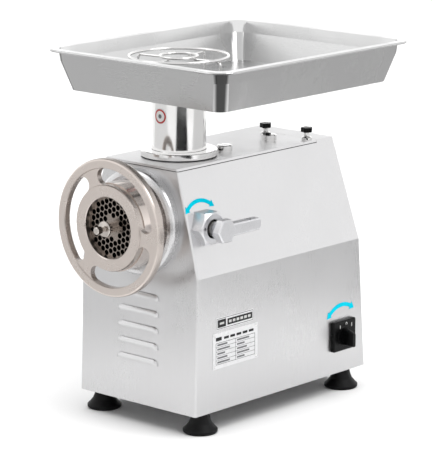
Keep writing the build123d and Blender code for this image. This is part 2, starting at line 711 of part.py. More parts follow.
def auger():
    """Feed screw with a square for the knife in front and a square tang behind."""
    start = KNIFE_REAR_Y + 1.0
    length = SCREW_REAR_Y - start
    middle = (SCREW_ROOT - 3 + SCREW_RADIUS) / 2
    path = Helix(pitch=SCREW_PITCH, height=length + FLIGHT, radius=middle)
    section = Plane(origin=path @ 0, x_dir=(1, 0, 0), z_dir=path % 0)
    blade = section * Rectangle(SCREW_RADIUS - SCREW_ROOT + 3, FLIGHT)
    flight = sweep(blade, path=path, is_frenet=True)
    flight = along_y(Pos(0, 0, start - FLIGHT / 2) * flight)
    flight = flight & rod_y(SCREW_RADIUS, (start, SCREW_REAR_Y))
    screw = flight + rod_y(SCREW_ROOT, (start - 0.5, SCREW_REAR_Y + 1))
    shank_end = SHAFT_FRONT_Y - 0.5
    screw = screw + rod_y(SHANK_RADIUS, (SCREW_REAR_Y, shank_end))
    tang = square_bar(TANG / 2, (shank_end, SHAFT_FRONT_Y + TANG_LENGTH))
    nose = square_bar(KNIFE_SQUARE / 2, (PLATE_REAR_Y + RUNNING, start))
    screw = screw + tang + nose
    return screw - rod_y(STUD_SCREW, (PLATE_REAR_Y, start + 20))


def knife():
    """Four-bladed knife that runs on the back of the plate."""
    y0, y1 = PLATE_REAR_Y + RUNNING, KNIFE_REAR_Y
    cross = rod_y(KNIFE_HUB, (y0, y1))
    blade = Polyline((0, -7.5), (20, -7.5), (KNIFE_REACH, -5), (KNIFE_REACH - 3, 7), (0, 8),
                     close=True)
    for i in range(4):
        arm = extrude(Plane.XZ * make_face(blade), -(y1 - y0))
        cross = cross + Pos(0, y0, AXIS_Z) * Rot(0, 90 * i, 0) * arm
    return cross - square_bar(KNIFE_SQUARE / 2 + RUNNING, (y0 - 1, y1 + 1))


def auger_stud():
    """Turned stud through the plate, with a flared collar and a plain tip."""
    y = PLATE_FRONT_Y
    shoulder_y, end_y = PLATE_REAR_Y + RUNNING, KNIFE_REAR_Y + 20
    profile = [(STUD_TIP_Y, 0), (STUD_TIP_Y, 4.2), (STUD_TIP_Y + 1, 5.2), (y - 24, 5.2),
               (y - 22.5, 3.8), (y - 18.5, 3.8), (y - 17.5, STUD_COLLAR - 0.8),
               (y - 16.5, STUD_COLLAR), (y - 14.5, STUD_COLLAR), (y - 11, STUD_RADIUS),
               (shoulder_y, STUD_RADIUS), (shoulder_y, STUD_SCREW), (end_y, STUD_SCREW), (end_y, 0)]
    return turned_y(profile)


def ring_nut():
    """Threaded sleeve over the barrel's mouth."""
    y0, y1 = HUB_REAR_Y + RUNNING, HUB_REAR_Y + NUT_LENGTH
    profile = [(y0, NUT_BORE), (y0, NUT_RADIUS), (y1 - 2, NUT_RADIUS), (y1, NUT_RADIUS - 2),
               (y1, NUT_BORE)]
    return turned_y(profile)


def arc_slot(angle):
    """A curved slot with round ends, drawn about the wheel's centre."""
    middle = (SLOT_INNER + SLOT_OUTER) / 2
    half = (SLOT_OUTER - SLOT_INNER) / 2
    turns = [math.radians(angle + k * SLOT_SPAN / 2) for k in (-1, 0, 1)]
    reach = 2 * SLOT_OUTER
    span = Polyline(*[(reach * math.cos(t), reach * math.sin(t)) for t in turns], (0, 0), close=True)
    slot = (Circle(SLOT_OUTER) - Circle(SLOT_INNER)) & make_face(span)
    for t in (turns[0], turns[-1]):
        slot = slot + Pos(middle * math.cos(t), middle * math.sin(t)) * Circle(half)
    return slot


def hand_wheel():
    """Flanged wheel that turns the ring nut: hub, three spokes and a raised rim."""
    front, back = WHEEL_FRONT_Y, WHEEL_FRONT_Y + WHEEL_THICKNESS
    web = front + RIM_STEP
    profile = [(front + 1.2, WHEEL_OPENING), (front, WHEEL_OPENING + 1.2), (front, SLOT_INNER - 0.9),
               (web, SLOT_INNER), (web, SLOT_OUTER), (front, SLOT_OUTER + 0.9),
               (front, WHEEL_RADIUS - 3), (front + 0.9, WHEEL_RADIUS - 0.9),
               (front + 3, WHEEL_RADIUS), (back - 3, WHEEL_RADIUS),
               (back - 0.9, WHEEL_RADIUS - 0.9), (back, WHEEL_RADIUS - 3),
               (back, SLOT_OUTER + 2), (HUB_REAR_Y, SLOT_OUTER), (HUB_REAR_Y, WHEEL_OPENING)]
    wheel = turned_y(profile)
    slots = Sketch() + [arc_slot(angle) for angle in SLOT_ANGLES]
    return wheel - Pos(0, 0, AXIS_Z) * extrude(Plane.XZ * slots, 90)


def front_collar():
    """Polished ring round the head's socket, flush on the front panel."""
    front = COLLAR_FRONT_Y
    step_y, step = SOCKET_FRONT_Y - SEAM, SOCKET_RADIUS + SEAM
    profile = [(front + 1.5, COLLAR_BORE), (front, COLLAR_BORE + 1.5), (front, COLLAR_RADIUS - 9),
               (front + 1, COLLAR_RADIUS - 4), (front + 3.5, COLLAR_RADIUS - 1),
               (front + 6.5, COLLAR_RADIUS), (5, COLLAR_RADIUS), (5, step), (step_y, step),
               (step_y, COLLAR_BORE)]
    return turned_y(profile) - form(low=BOTTOM_Z, high=TOP_Z + 40)


# ---------------------------------------------------------------- gears and drive

def tip_radius(teeth, module):
    return module * (teeth / 2 + ADDENDUM)


def gear(teeth, module, y, z, first_tooth):
    """A spur gear about an axis along y, with a tooth at the given angle from +x towards +z."""
    pitch_radius = module * teeth / 2
    base = pitch_radius * math.cos(GEAR_PRESSURE)
    tip, root = tip_radius(teeth, module), pitch_radius - DEDENDUM * module
    half_pitch = math.pi / (2 * teeth) - BACKLASH * module / (2 * pitch_radius)

    def half_angle(radius):
        pressure = math.acos(base / max(radius, base))
        at_pitch = math.tan(GEAR_PRESSURE) - GEAR_PRESSURE
        return half_pitch + at_pitch - (math.tan(pressure) - pressure)

    radii = [root, max(root, base) + 0.02 * module, pitch_radius + 0.1 * module, tip]
    points = []
    for i in range(teeth):
        centre = math.radians(first_tooth) + 2 * math.pi * i / teeth
        rising = [(r, centre - half_angle(r)) for r in radii]
        falling = [(r, centre + half_angle(r)) for r in reversed(radii)]
        points += [(r * math.cos(a), r * math.sin(a)) for r, a in rising + falling]
    face = make_face(Polyline(*points, close=True))
    return Pos(0, y[0], z) * extrude(Plane.XZ * face, -(y[1] - y[0]))


def bull_gear():
    face = (SLOW_Y, SLOW_Y + SLOW_FACE)
    through = (face[0] - 1, face[1] + 1)
    teeth = gear(BULL_TEETH, SLOW_MODULE, face, AXIS_Z, -90 + 180 / BULL_TEETH)
    for x, z in spread(33, 6):
        teeth = teeth - rod_y(8, through, x, AXIS_Z + z)
    return teeth - rod_y(BULL_BORE, through)


def lay_pinion():
    teeth = gear(SLOW_PINION_TEETH, SLOW_MODULE, (SLOW_Y, SLOW_Y + SLOW_FACE), LAY_Z, 90)
    return teeth - rod_y(LAY_CORE, (SLOW_Y - 1, SLOW_Y + SLOW_FACE + 1), 0, LAY_Z)


def lay_gear():
    y = (FAST_Y, FAST_Y + FAST_FACE)
    teeth = gear(LAY_GEAR_TEETH, FAST_MODULE, y, LAY_Z, -90 + 180 / LAY_GEAR_TEETH)
    for x, z in spread(23, 5):
        teeth = teeth - rod_y(5, (y[0] - 1, y[1] + 1), x, LAY_Z + z)
    return teeth - rod_y(LAY_CORE, (y[0] - 1, y[1] + 1), 0, LAY_Z)


def motor_pinion():
    y = (FAST_Y, FAST_Y + FAST_FACE)
    teeth = gear(MOTOR_PINION_TEETH, FAST_MODULE, y, MOTOR_Z, 90)
    return teeth - rod_y(PINION_BORE, (y[0] - 1, y[1] + 1), 0, MOTOR_Z)


def output_shaft():
    """Hollow-nosed shaft: its square socket drives the auger's tang."""
    bearing_end = CHAMBER_Y + GEAR_GAP
    rear = rear_bearing_y()
    shaft = rod_y(OUTPUT_BEARING[0] - RUNNING, (SHAFT_FRONT_Y, bearing_end))
    shaft = shaft + rod_y(BULL_BORE, (bearing_end, rear[0] - 1))
    shaft = shaft + rod_y(OUTPUT_REAR_BEARING[0] - RUNNING, (rear[0] - 2, rear[1] - 1))
    socket = (SHAFT_FRONT_Y - 1, SHAFT_FRONT_Y + TANG_LENGTH + 2)
    return shaft - square_bar(TANG / 2 + CLEAR, socket)


def rear_bearing_y():
    end = COVER_Y + COVER_THICKNESS - 3
    return end - OUTPUT_REAR_BEARING[2], end


def front_bearing_y():
    return CHAMBER_Y - OUTPUT_BEARING[2], CHAMBER_Y


def lay_bearing_ys():
    width = SMALL_BEARING[2]
    end = COVER_Y + COVER_THICKNESS - 3
    return (CHAMBER_Y - width, CHAMBER_Y), (end - width, end)


def layshaft():
    (y0, y1), (y2, y3) = lay_bearing_ys()
    shaft = rod_y(SMALL_BEARING[0] - RUNNING, (y0 + 0.5, y3 - 0.5), 0, LAY_Z)
    return shaft + rod_y(LAY_CORE, (SLOW_Y - 2, FAST_Y + FAST_FACE), 0, LAY_Z)


def motor_shaft():
    journal = SMALL_BEARING[0] - RUNNING
    shaft = rod_y(PINION_BORE, (FAST_Y - 1, MOTOR_Y), 0, MOTOR_Z)
    shaft = shaft + rod_y(journal, (MOTOR_Y - 0.5, SHIELD_END_Y + 1), 0, MOTOR_Z)
    shaft = shaft + rod_y(ROTOR_BORE, (CASING_Y + 2, CASING_END_Y - 2), 0, MOTOR_Z)
    return shaft + rod_y(FAN_BORE, (SHIELD_END_Y, SHIELD_END_Y + FAN_COVER_DEPTH - 4), 0, MOTOR_Z)


def bearing(sizes, y, x, z):
    """Outer ring, inner ring and balls of one ball bearing, as separate solids."""
    bore, outer, width = sizes
    ball = (outer - bore) * 0.24
    middle = (outer + bore) / 2
    centre = (y[0] + y[1]) / 2
    track = Pos(x, centre, z) * Rot(90, 0, 0) * Torus(middle, ball + 0.05)
    races = [tube_y(outer, outer - (outer - bore) * 0.3, y, x, z) - track,
             tube_y(bore + (outer - bore) * 0.3, bore, y, x, z) - track]
    balls = [Pos(x + dx, centre, z + dz) * Sphere(ball) for dx, dz in spread(middle, BEARING_BALLS)]
    return races + balls


def output_bearings():
    return group(bearing(OUTPUT_BEARING, front_bearing_y(), 0, AXIS_Z)
                 + bearing(OUTPUT_REAR_BEARING, rear_bearing_y(), 0, AXIS_Z))


def motor_bearing_ys():
    width = SMALL_BEARING[2]
    return (CASING_Y - width, CASING_Y), (CASING_END_Y, CASING_END_Y + width)


def small_bearings():
    """The layshaft's and the motor's four equal bearings."""
    lay = [bearing(SMALL_BEARING, y, 0, LAY_Z) for y in lay_bearing_ys()]
    motor = [bearing(SMALL_BEARING, y, 0, MOTOR_Z) for y in motor_bearing_ys()]
    return group(sum(lay + motor, []))


def shaft_seal():
    """Lip seal that keeps the gearbox oil out of the head's socket."""
    y = (SHAFT_FRONT_Y + 0.5, SHAFT_FRONT_Y + SEAL_DEPTH)
    return tube_y(SEAL_RADIUS, OUTPUT_BEARING[0] + RUNNING, y)


# ---------------------------------------------------------------- gearbox

def chamber(extra, y):
    """The gear chamber's outline: one curve round all three shafts."""
    room = GEAR_ROOM + extra
    gears = [(AXIS_Z, BULL_TEETH, SLOW_MODULE), (LAY_Z, LAY_GEAR_TEETH, FAST_MODULE),
             (MOTOR_Z, MOTOR_PINION_TEETH, FAST_MODULE)]
    circles = [Pos(0, z) * Circle(tip_radius(teeth, module) + room) for z, teeth, module in gears]
    outline = make_hull([edge for circle in circles for edge in circle.edges()])
    return Pos(0, y[0], 0) * extrude(Plane.XZ * outline, -(y[1] - y[0]))


def case_bolt_places():
    wide = tip_radius(BULL_TEETH, SLOW_MODULE) + GEAR_ROOM + CASE_WALL - 1
    low = tip_radius(LAY_GEAR_TEETH, FAST_MODULE) + GEAR_ROOM + CASE_WALL - 1
    return [(-wide, AXIS_Z + 6), (wide, AXIS_Z + 6), (-low, LAY_Z - 12), (low, LAY_Z - 12)]


def gearbox_case():
    """Cast case: the head's socket in front, the gear chamber behind."""
    case = chamber(CASE_WALL, (CHAMBER_Y - CASE_WALL, COVER_Y)) - chamber(0, (CHAMBER_Y, COVER_Y + 1))
    for x, z in case_bolt_places():
        lug = rod_y(LUG_RADIUS, (COVER_Y - 22, COVER_Y), x, z)
        case = case + (lug - chamber(0, (CHAMBER_Y, COVER_Y + 1)))
    case = case + rod_y(SOCKET_RADIUS, (SOCKET_FRONT_Y, CHAMBER_Y))
    lay_seat = (CHAMBER_Y - SMALL_BEARING[2] - 4, CHAMBER_Y)
    case = case + rod_y(SMALL_BEARING[1] + BEARING_SHOULDER, lay_seat, 0, LAY_Z)
    case = case - rod_y(SOCKET_BORE, (SOCKET_FRONT_Y - 1, SOCKET_END_Y))
    case = case - rod_y(SEAL_RADIUS, (SOCKET_END_Y - 1, SHAFT_FRONT_Y + SEAL_DEPTH))
    case = case - rod_y(OUTPUT_BEARING[0] + BEARING_SHOULDER, (SHAFT_FRONT_Y, CHAMBER_Y))
    case = case - rod_y(OUTPUT_BEARING[1], (front_bearing_y()[0], CHAMBER_Y + 1))
    case = case - rod_y(SMALL_BEARING[1], (lay_bearing_ys()[0][0], CHAMBER_Y + 1), 0, LAY_Z)
    case = case - rod_z(COLUMN_RADIUS + COLUMN_HOLE_GAP, (AXIS_Z, AXIS_Z + 90), 0, THROAT_Y)
    case = case - rod_x(LEVER_SCREW + RUNNING, (30, 90), LEVER_Y, AXIS_Z)
    pin_x, pin_z = head_pin_place()
    case = case - rod_y(HEAD_PIN + RUNNING, (SOCKET_END_Y - 1, SOCKET_END_Y + 5), pin_x, pin_z)
    for x, z in case_bolt_places():
        case = case - rod_y(BOLT_RADIUS, (COVER_Y - 18, COVER_Y + 1), x, z)
    across = (-SOLE_WIDTH / 2, SOLE_WIDTH / 2)
    sole = block(across, (CHAMBER_Y - CASE_WALL, COVER_Y), (sole_z(), sole_z() + 14))
    return case + (sole - chamber(CASE_WALL - 0.5, (CHAMBER_Y - 20, COVER_Y + 20)))


def sole_z():
    return MOTOR_Z - tip_radius(MOTOR_PINION_TEETH, FAST_MODULE) - GEAR_ROOM - CASE_WALL - 4


def gearbox_cover():
    """Back wall of the gearbox, with bearing seats, carrying the motor."""
    y1 = COVER_Y + COVER_THICKNESS
    cover = chamber(CASE_WALL, (COVER_Y, y1))
    for x, z in case_bolt_places():
        cover = cover + rod_y(LUG_RADIUS, (COVER_Y, y1), x, z)
    rear, lay = rear_bearing_y(), lay_bearing_ys()[1]
    shoulder = BEARING_SHOULDER
    cover = cover + rod_y(OUTPUT_REAR_BEARING[1] + shoulder, (rear[0] - 1, COVER_Y + 1))
    cover = cover + rod_y(SMALL_BEARING[1] + shoulder, (lay[0] + 1, COVER_Y + 1), 0, LAY_Z)
    cover = cover - rod_y(OUTPUT_REAR_BEARING[1], (rear[0] - 2, rear[1]))
    cover = cover - rod_y(SMALL_BEARING[1], (lay[0] - 1, lay[1]), 0, LAY_Z)
    cover = cover - rod_y(PINION_BORE + 2, (COVER_Y - 9, y1 + 1), 0, MOTOR_Z)
    for x, z in case_bolt_places():
        cover = cover - rod_y(BOLT_RADIUS + RUNNING, (COVER_Y - 9, y1 + 1), x, z)
        cover = cover - rod_y(BOLT_HEAD_RADIUS + CLEAR, (y1 - BOLT_HEAD, y1 + 1), x, z)
    return cover


def case_bolts():
    """Hexagon-socket screws that hold the cover on the case."""
    y1 = COVER_Y + COVER_THICKNESS
    bolts = []
    for x, z in case_bolt_places():
        head = rod_y(BOLT_HEAD_RADIUS, (y1 - BOLT_HEAD, y1), x, z)
        bolt = head + rod_y(BOLT_RADIUS, (COVER_Y - 16, y1 - 1), x, z)
        socket = Pos(x, y1 + 1, z) * extrude(Plane.XZ * RegularPolygon(2.9, 6), 4)
        bolts.append(bolt - socket)
    return group(bolts)


def bracket(y, top_z):
    """Folded steel stand: two legs, feet turned outwards and a top."""
    x, low, t = PEDESTAL_WIDTH / 2, BOTTOM_Z + BASE_SHEET, PEDESTAL_SHEET
    inside = block((t - x, x - t), (y[0] - 1, y[1] + 1), (low - 1, top_z - t))
    body = block((-x, x), y, (low, top_z)) - inside
    for side in (-1, 1):
        across = sorted((side * (x - t), side * (x + PEDESTAL_FOOT)))
        body = body + block(across, y, (low, low + t))
    return body


def gearbox_stand():
    return bracket((CHAMBER_Y - 4, COVER_Y - 2), sole_z())


def motor_cradle():
    """Stand under the motor, its top cut to the motor's round casing."""
    y = (CASING_Y + 12, CASING_END_Y - 12)
    top = MOTOR_Z - MOTOR_RADIUS - 2
    saddle = block((-SADDLE_WIDTH / 2, SADDLE_WIDTH / 2), y, (top - 1, top + SADDLE_HEIGHT))
    return bracket(y, top) + saddle - rod_y(MOTOR_RADIUS, (MOTOR_Y, SHIELD_END_Y), 0, MOTOR_Z)


# ---------------------------------------------------------------- motor

def motor_casing():
    casing = tube_y(MOTOR_RADIUS, MOTOR_RADIUS - MOTOR_WALL, (CASING_Y, CASING_END_Y), 0, MOTOR_Z)
    for angle in range(20, 161, 10):
        place = Pos(0, (CASING_Y + CASING_END_Y) / 2, MOTOR_Z) * Rot(0, -angle, 0)
        casing = casing + place * Pos(MOTOR_RADIUS + 2, 0, 0) * Box(6, MOTOR_LENGTH, 2)
    return casing


def shield(y, seat_y, shaft_gap_y):
    disc = rod_y(MOTOR_RADIUS, y, 0, MOTOR_Z) - rod_y(SMALL_BEARING[1], seat_y, 0, MOTOR_Z)
    return disc - rod_y(SMALL_BEARING[0] + 1, shaft_gap_y, 0, MOTOR_Z)


def motor_front_shield():
    front = motor_bearing_ys()[0]
    return shield((MOTOR_Y, CASING_Y), (front[0], front[1] + 1), (MOTOR_Y - 1, CASING_Y + 1))


def motor_rear_shield():
    rear = motor_bearing_ys()[1]
    return shield((CASING_END_Y, SHIELD_END_Y), (rear[0] - 1, rear[1]), (CASING_END_Y - 1, SHIELD_END_Y + 1))


def stator_y():
    middle = (CASING_Y + CASING_END_Y) / 2
    return middle - STATOR_LENGTH / 2, middle + STATOR_LENGTH / 2


def stator_core():
    """Laminated ring with winding slots open towards the rotor."""
    bore = ROTOR_RADIUS + AIR_GAP
    core = tube_y(MOTOR_RADIUS - MOTOR_WALL, bore, stator_y(), 0, MOTOR_Z)
    for i in range(24):
        slot = Box(11, STATOR_LENGTH + 2, 3.2)
        place = Pos(0, sum(stator_y()) / 2, MOTOR_Z) * Rot(0, 15 * i, 0) * Pos(bore + 5, 0, 0)
        core = core - place * slot
    return core


def stator_winding():
    """End turns of the copper winding, one ring at each end of the core."""
    y0, y1 = stator_y()
    outer = MOTOR_RADIUS - MOTOR_WALL - 3
    inner = ROTOR_RADIUS + 3
    rings = []
    for low, high in ((y0 - 9, y0), (y1, y1 + 9)):
        profile = [(low, inner + 3), (low, outer - 3), (low + 3, outer), (high, outer),
                   (high, inner), (low + 3, inner)]
        rings.append(turned_y(profile, MOTOR_Z))
    return group(rings)


def rotor_core():
    return tube_y(ROTOR_RADIUS, ROTOR_BORE, stator_y(), 0, MOTOR_Z)


def cooling_fan():
    y0 = SHIELD_END_Y + 3
    hub = tube_y(FAN_HUB, FAN_BORE, (y0, y0 + 12), 0, MOTOR_Z)
    hub = hub + tube_y(FAN_RADIUS, FAN_HUB - 4, (y0, y0 + 2), 0, MOTOR_Z)
    start = FAN_HUB - 1
    for i in range(FAN_BLADES):
        place = Pos(0, y0 + 6.5, MOTOR_Z) * Rot(0, 360 * i / FAN_BLADES, 0)
        hub = hub + place * Pos((start + FAN_RADIUS) / 2, 0, 0) * Box(FAN_RADIUS - start, 11, 2)
    return hub


def fan_cover():
    """Pressed steel bell over the fan, with an air inlet grid."""
    y0, y1 = SHIELD_END_Y, SHIELD_END_Y + FAN_COVER_DEPTH
    bell = rod_y(MOTOR_RADIUS, (y0, y1), 0, MOTOR_Z)
    bell = bell - rod_y(MOTOR_RADIUS - FAN_COVER_SHEET, (y0 - 1, y1 - FAN_COVER_SHEET), 0, MOTOR_Z)
    for radius, count in ((14, 8), (24, 14), (34, 20)):
        for x, z in spread(radius, count):
            bell = bell - rod_y(3, (y1 - 5, y1 + 1), x, MOTOR_Z + z)
    return bell


def capacitor_z():
    return BOTTOM_Z + BASE_SHEET + CAPACITOR_RAISED


def run_capacitor():
    x, z = CAPACITOR_X, capacitor_z()
    can = rod_y(CAPACITOR_RADIUS, (CASING_Y, CASING_Y + CAPACITOR_LENGTH), x, z)
    for side in (-1, 1):
        can = can + rod_y(2, (CASING_Y - 8, CASING_Y), x + side * 7, z)
    return can


def capacitor_clip():
    """Steel strap that holds the capacitor down on the base."""
    x, z, low = CAPACITOR_X, capacitor_z(), BOTTOM_Z + BASE_SHEET
    start = CASING_Y + (CAPACITOR_LENGTH - CLIP_WIDTH) / 2
    y = (start, start + CLIP_WIDTH)
    can = rod_y(CAPACITOR_RADIUS, (y[0] - 1, y[1] + 1), x, z)
    pad = block((x - 12, x + 12), y, (low, z - CAPACITOR_RADIUS + 0.5))
    return (rod_y(CAPACITOR_RADIUS + CLIP_SHEET, y, x, z) + pad) - can


# ---------------------------------------------------------------- lever

def lever_boss():
    """Hexagon boss on the slanted side, screwed to the head's socket."""
    hexagon = RegularPolygon(BOSS_FLATS / 2, 6, major_radius=False)
    prism = Pos(0, LEVER_Y, AXIS_Z) * extrude(Plane.YZ * hexagon, BOSS_FACE_X)
    corner = BOSS_FLATS / 2 / math.cos(math.radians(30)) + 0.3
    crown = turned_x([(0, 0), (0, corner), (BOSS_FACE_X - BOSS_CHAMFER, corner),
                      (BOSS_FACE_X, BOSS_FACE_RADIUS), (BOSS_FACE_X, 0)], LEVER_Y, AXIS_Z)
    body = (prism & crown) - form(low=BOTTOM_Z, high=TOP_Z)
    spigot = rod_x(BOSS_SPIGOT, (40, BOSS_FACE_X - 10), LEVER_Y, AXIS_Z)
    body = body + (spigot - rod_y(SOCKET_RADIUS, (-20, 90)))
    bore = (BOSS_FACE_X - BOSS_BORE_DEPTH, BOSS_FACE_X + 1)
    body = body - rod_x(BOSS_BORE, bore, LEVER_Y, AXIS_Z)
    body = body - rod_x(LEVER_SCREW + RUNNING, (30, BOSS_FACE_X), LEVER_Y, AXIS_Z)
    pin_y = LEVER_Y - (BOSS_BORE + BOSS_FACE_RADIUS) / 2
    return body - rod_x(BOSS_PIN_HOLE, (BOSS_FACE_X - 6, BOSS_FACE_X + 1), pin_y, AXIS_Z + 2)


def clamp_screw():
    """Screw whose tip presses on the barrel, ending in the lever's collar."""
    tip = BARREL_RADIUS + CLEAR
    neck = BOSS_FACE_X - BOSS_BORE_DEPTH + 1
    end = BOSS_FACE_X + LEVER_GAP
    profile = [(tip, 0), (tip, LEVER_SCREW - 1), (tip + 1, LEVER_SCREW), (neck, LEVER_SCREW),
               (neck, LEVER_NECK), (end, LEVER_NECK), (end, 0)]
    return turned_x(profile, LEVER_Y, AXIS_Z)


def lever_handle():
    """Cast handle: hexagonal hub on a cone and a tapering arm pointing backwards at rest."""
    back = LEVER_FACE_X - LEVER_THICKNESS
    start = BOSS_FACE_X + LEVER_GAP
    cone = turned_x([(start, 0), (start, LEVER_NECK), (back + 1, LEVER_HUB - 2.5), (back + 1, 0)],
                    LEVER_Y, AXIS_Z)
    hub = extrude(Plane.YZ * RegularPolygon(LEVER_HUB, 6), LEVER_THICKNESS)
    hub = chamfer(hub.faces().sort_by(Axis.X)[-1].edges(), 1.6)
    hub = chamfer(hub.faces().sort_by(Axis.X)[0].edges(), 2.5)
    root, tip, reach = LEVER_ROOT_HEIGHT / 2, LEVER_TIP_HEIGHT / 2, LEVER_REACH
    arm = Polyline((0, -root), (reach - 4, -tip), (reach, 4 - tip), (reach, tip - 4),
                   (reach - 4, tip), (0, root), close=True)
    arm = extrude(Plane.YZ * make_face(arm), LEVER_THICKNESS - 1)
    long_edges = [e for e in arm.edges() if abs(e.tangent_at(0).Y) > 0.8 and e.length > 20]
    arm = fillet(long_edges, 3)
    hollow_z = (AXIS_Z + tip - 3.0, AXIS_Z + 20)
    hollow_y = LEVER_Y + reach - LEVER_DIMPLE_FROM_TIP
    dimple = rod_z(LEVER_DIMPLE, hollow_z, back + LEVER_THICKNESS / 2, hollow_y)
    return cone + Pos(back, LEVER_Y, AXIS_Z) * (hub + arm) - dimple


# ---------------------------------------------------------------- switch

def side_plate(y, z, thickness, corner):
    """A rounded plate lying on the upright right-hand side."""
    width, height = y[1] - y[0], z[1] - z[0]
    plate = extrude(Plane.YZ * RectangleRounded(width, height, corner), thickness)
    return Pos(HOUSING_WIDTH / 2, sum(y) / 2, sum(z) / 2) * plate


def switch_plate():
    y = (SWITCH_Y - SWITCH_WIDTH / 2, SWITCH_Y + SWITCH_WIDTH / 2)
    z = (SWITCH_Z - SWITCH_HEIGHT / 2, SWITCH_Z + SWITCH_HEIGHT / 2)
    plate = side_plate(y, z, SWITCH_PLATE, 2.5)
    plate = chamfer(plate.faces().sort_by(Axis.X)[-1].edges(), 1.2)
    face_x = HOUSING_WIDTH / 2 + SWITCH_PLATE
    plate = plate - rod_x(KNOB_BASE + 0.5, (face_x - 1.5, face_x + 1), SWITCH_Y, SWITCH_Z)
    return plate - rod_x(SWITCH_SPINDLE + 1, (0, face_x), SWITCH_Y, SWITCH_Z)


def switch_body():
    """Cam-switch body behind the side, with its terminals."""
    x1 = HOUSING_WIDTH / 2 - SHEET
    half = SWITCH_BODY / 2
    x0 = x1 - SWITCH_BODY_DEPTH
    body = block((x0, x1), (SWITCH_Y - half, SWITCH_Y + half), (SWITCH_Z - half, SWITCH_Z + half))
    for i in range(SWITCH_DECKS):
        x = x0 + 9 + SWITCH_DECK * i
        upright = (SWITCH_Z - half - 1, SWITCH_Z + half + 1)
        body = body - block((x, x + 1.5), (SWITCH_Y - half - 1, SWITCH_Y - half + 2), upright)
        for z in (SWITCH_Z - 12, SWITCH_Z, SWITCH_Z + 12):
            tag_y = (SWITCH_Y - half - 5, SWITCH_Y - half)
            body = body + block((x - 7, x - 3), tag_y, (z - 3, z + 3))
    return body - rod_x(SWITCH_SPINDLE + 1, (x0 + 10, x1 + 1), SWITCH_Y, SWITCH_Z)


def switch_spindle():
    x1 = HOUSING_WIDTH / 2 - SHEET
    face_x = HOUSING_WIDTH / 2 + SWITCH_PLATE
    return rod_x(SWITCH_SPINDLE, (x1 - SWITCH_BODY_DEPTH + 11, face_x - 1.0), SWITCH_Y, SWITCH_Z)


def switch_knob():
    """Black handle: a thin round base and a blade whose top slopes down outwards."""
    face_x = HOUSING_WIDTH / 2 + SWITCH_PLATE
    base = rod_x(KNOB_BASE, (face_x - 1.0, face_x + KNOB_STEP), SWITCH_Y, SWITCH_Z)
    base = chamfer(base.edges().group_by(Axis.X)[-1], 0.5)
    root = Pos(SWITCH_Y, SWITCH_Z - 1.2) * RectangleRounded(9, 26.5, 3.5)
    tip = Pos(SWITCH_Y, SWITCH_Z - 5) * RectangleRounded(6, 20, 2)
    root = Plane.YZ.offset(face_x + KNOB_STEP / 2) * root
    blade = loft([root, Plane.YZ.offset(face_x + KNOB_REACH) * tip])
    return base + blade


# ---------------------------------------------------------------- small fittings

def oil_plug(x, y):
    """Low chrome plug with a slotted top, screwed into the lid."""
    top = TOP_Z + PLUG_HEIGHT
    outline = [(0, TOP_Z), (PLUG_RADIUS, TOP_Z), (PLUG_RADIUS, top - 1.2),
               (PLUG_RADIUS - 1.2, top), (0, top)]
    across = (x - PLUG_RADIUS, x + PLUG_RADIUS)
    plug = turned_z(outline, x, y) - block(across, (y - 0.8, y + 0.8), (top - 1.5, top + 1))
    return plug + rod_z(COVER_STUD, (TOP_Z - COVER_STUD_LENGTH, TOP_Z + 1), x, y)


def knob_base(x, y):
    """Chrome seat under a cover knob, with a threaded hole."""
    radius, top = KNOB_SEAT_RADIUS, TOP_Z + KNOB_SEAT_HEIGHT
    seat = turned_z([(0, TOP_Z), (radius, TOP_Z), (radius, top - 1.5), (radius - 1.5, top), (0, top)],
                    x, y)
    return seat - rod_z(COVER_STUD + RUNNING, (TOP_Z - 1, TOP_Z + 9), x, y)


def cover_knob(x, y):
    """Lobed black knob on a stud that holds the lid down."""
    low = TOP_Z + KNOB_SEAT_HEIGHT + CLEAR
    grip_z = low + COVER_KNOB_NECK
    lobe = COVER_KNOB_LOBE_RADIUS
    grip = Circle(COVER_KNOB_RADIUS - 1.6)
    for dx, dy in spread(COVER_KNOB_RADIUS - lobe, COVER_KNOB_LOBES):
        grip = grip + Pos(dx, dy) * Circle(lobe)
    head = Pos(x, y, grip_z) * extrude(grip, COVER_KNOB_HEIGHT)
    head = fillet(head.faces().sort_by(Axis.Z)[-1].edges(), 0.9)
    neck = turned_z([(0, low), (4.6, low), (3.9, low + 1), (3.9, grip_z - 1.5), (5.6, grip_z + 0.5),
                     (0, grip_z + 0.5)], x, y)
    return head + neck + rod_z(COVER_STUD, (TOP_Z - COVER_STUD_LENGTH, low + 1), x, y)


def data_plate(spans):
    y0, y1, z0, z1 = spans
    return side_plate((y0, y1), (z0, z1), LABEL, 1.5)


def plate_rivets():
    x = HOUSING_WIDTH / 2 + LABEL
    y0, y1, z0, z1 = RATING_PLATE
    spots = [(y, z) for y in (y0 + 3.5, y1 - 3.5) for z in (z0 + 3.5, z1 - 3.5)]
    rivet = [(x, 0), (x, RIVET_RADIUS), (x + 0.5, RIVET_RADIUS), (x + 1, RIVET_RADIUS / 2), (x + 1, 0)]
    return group([turned_x(rivet, y, z) for y, z in spots])


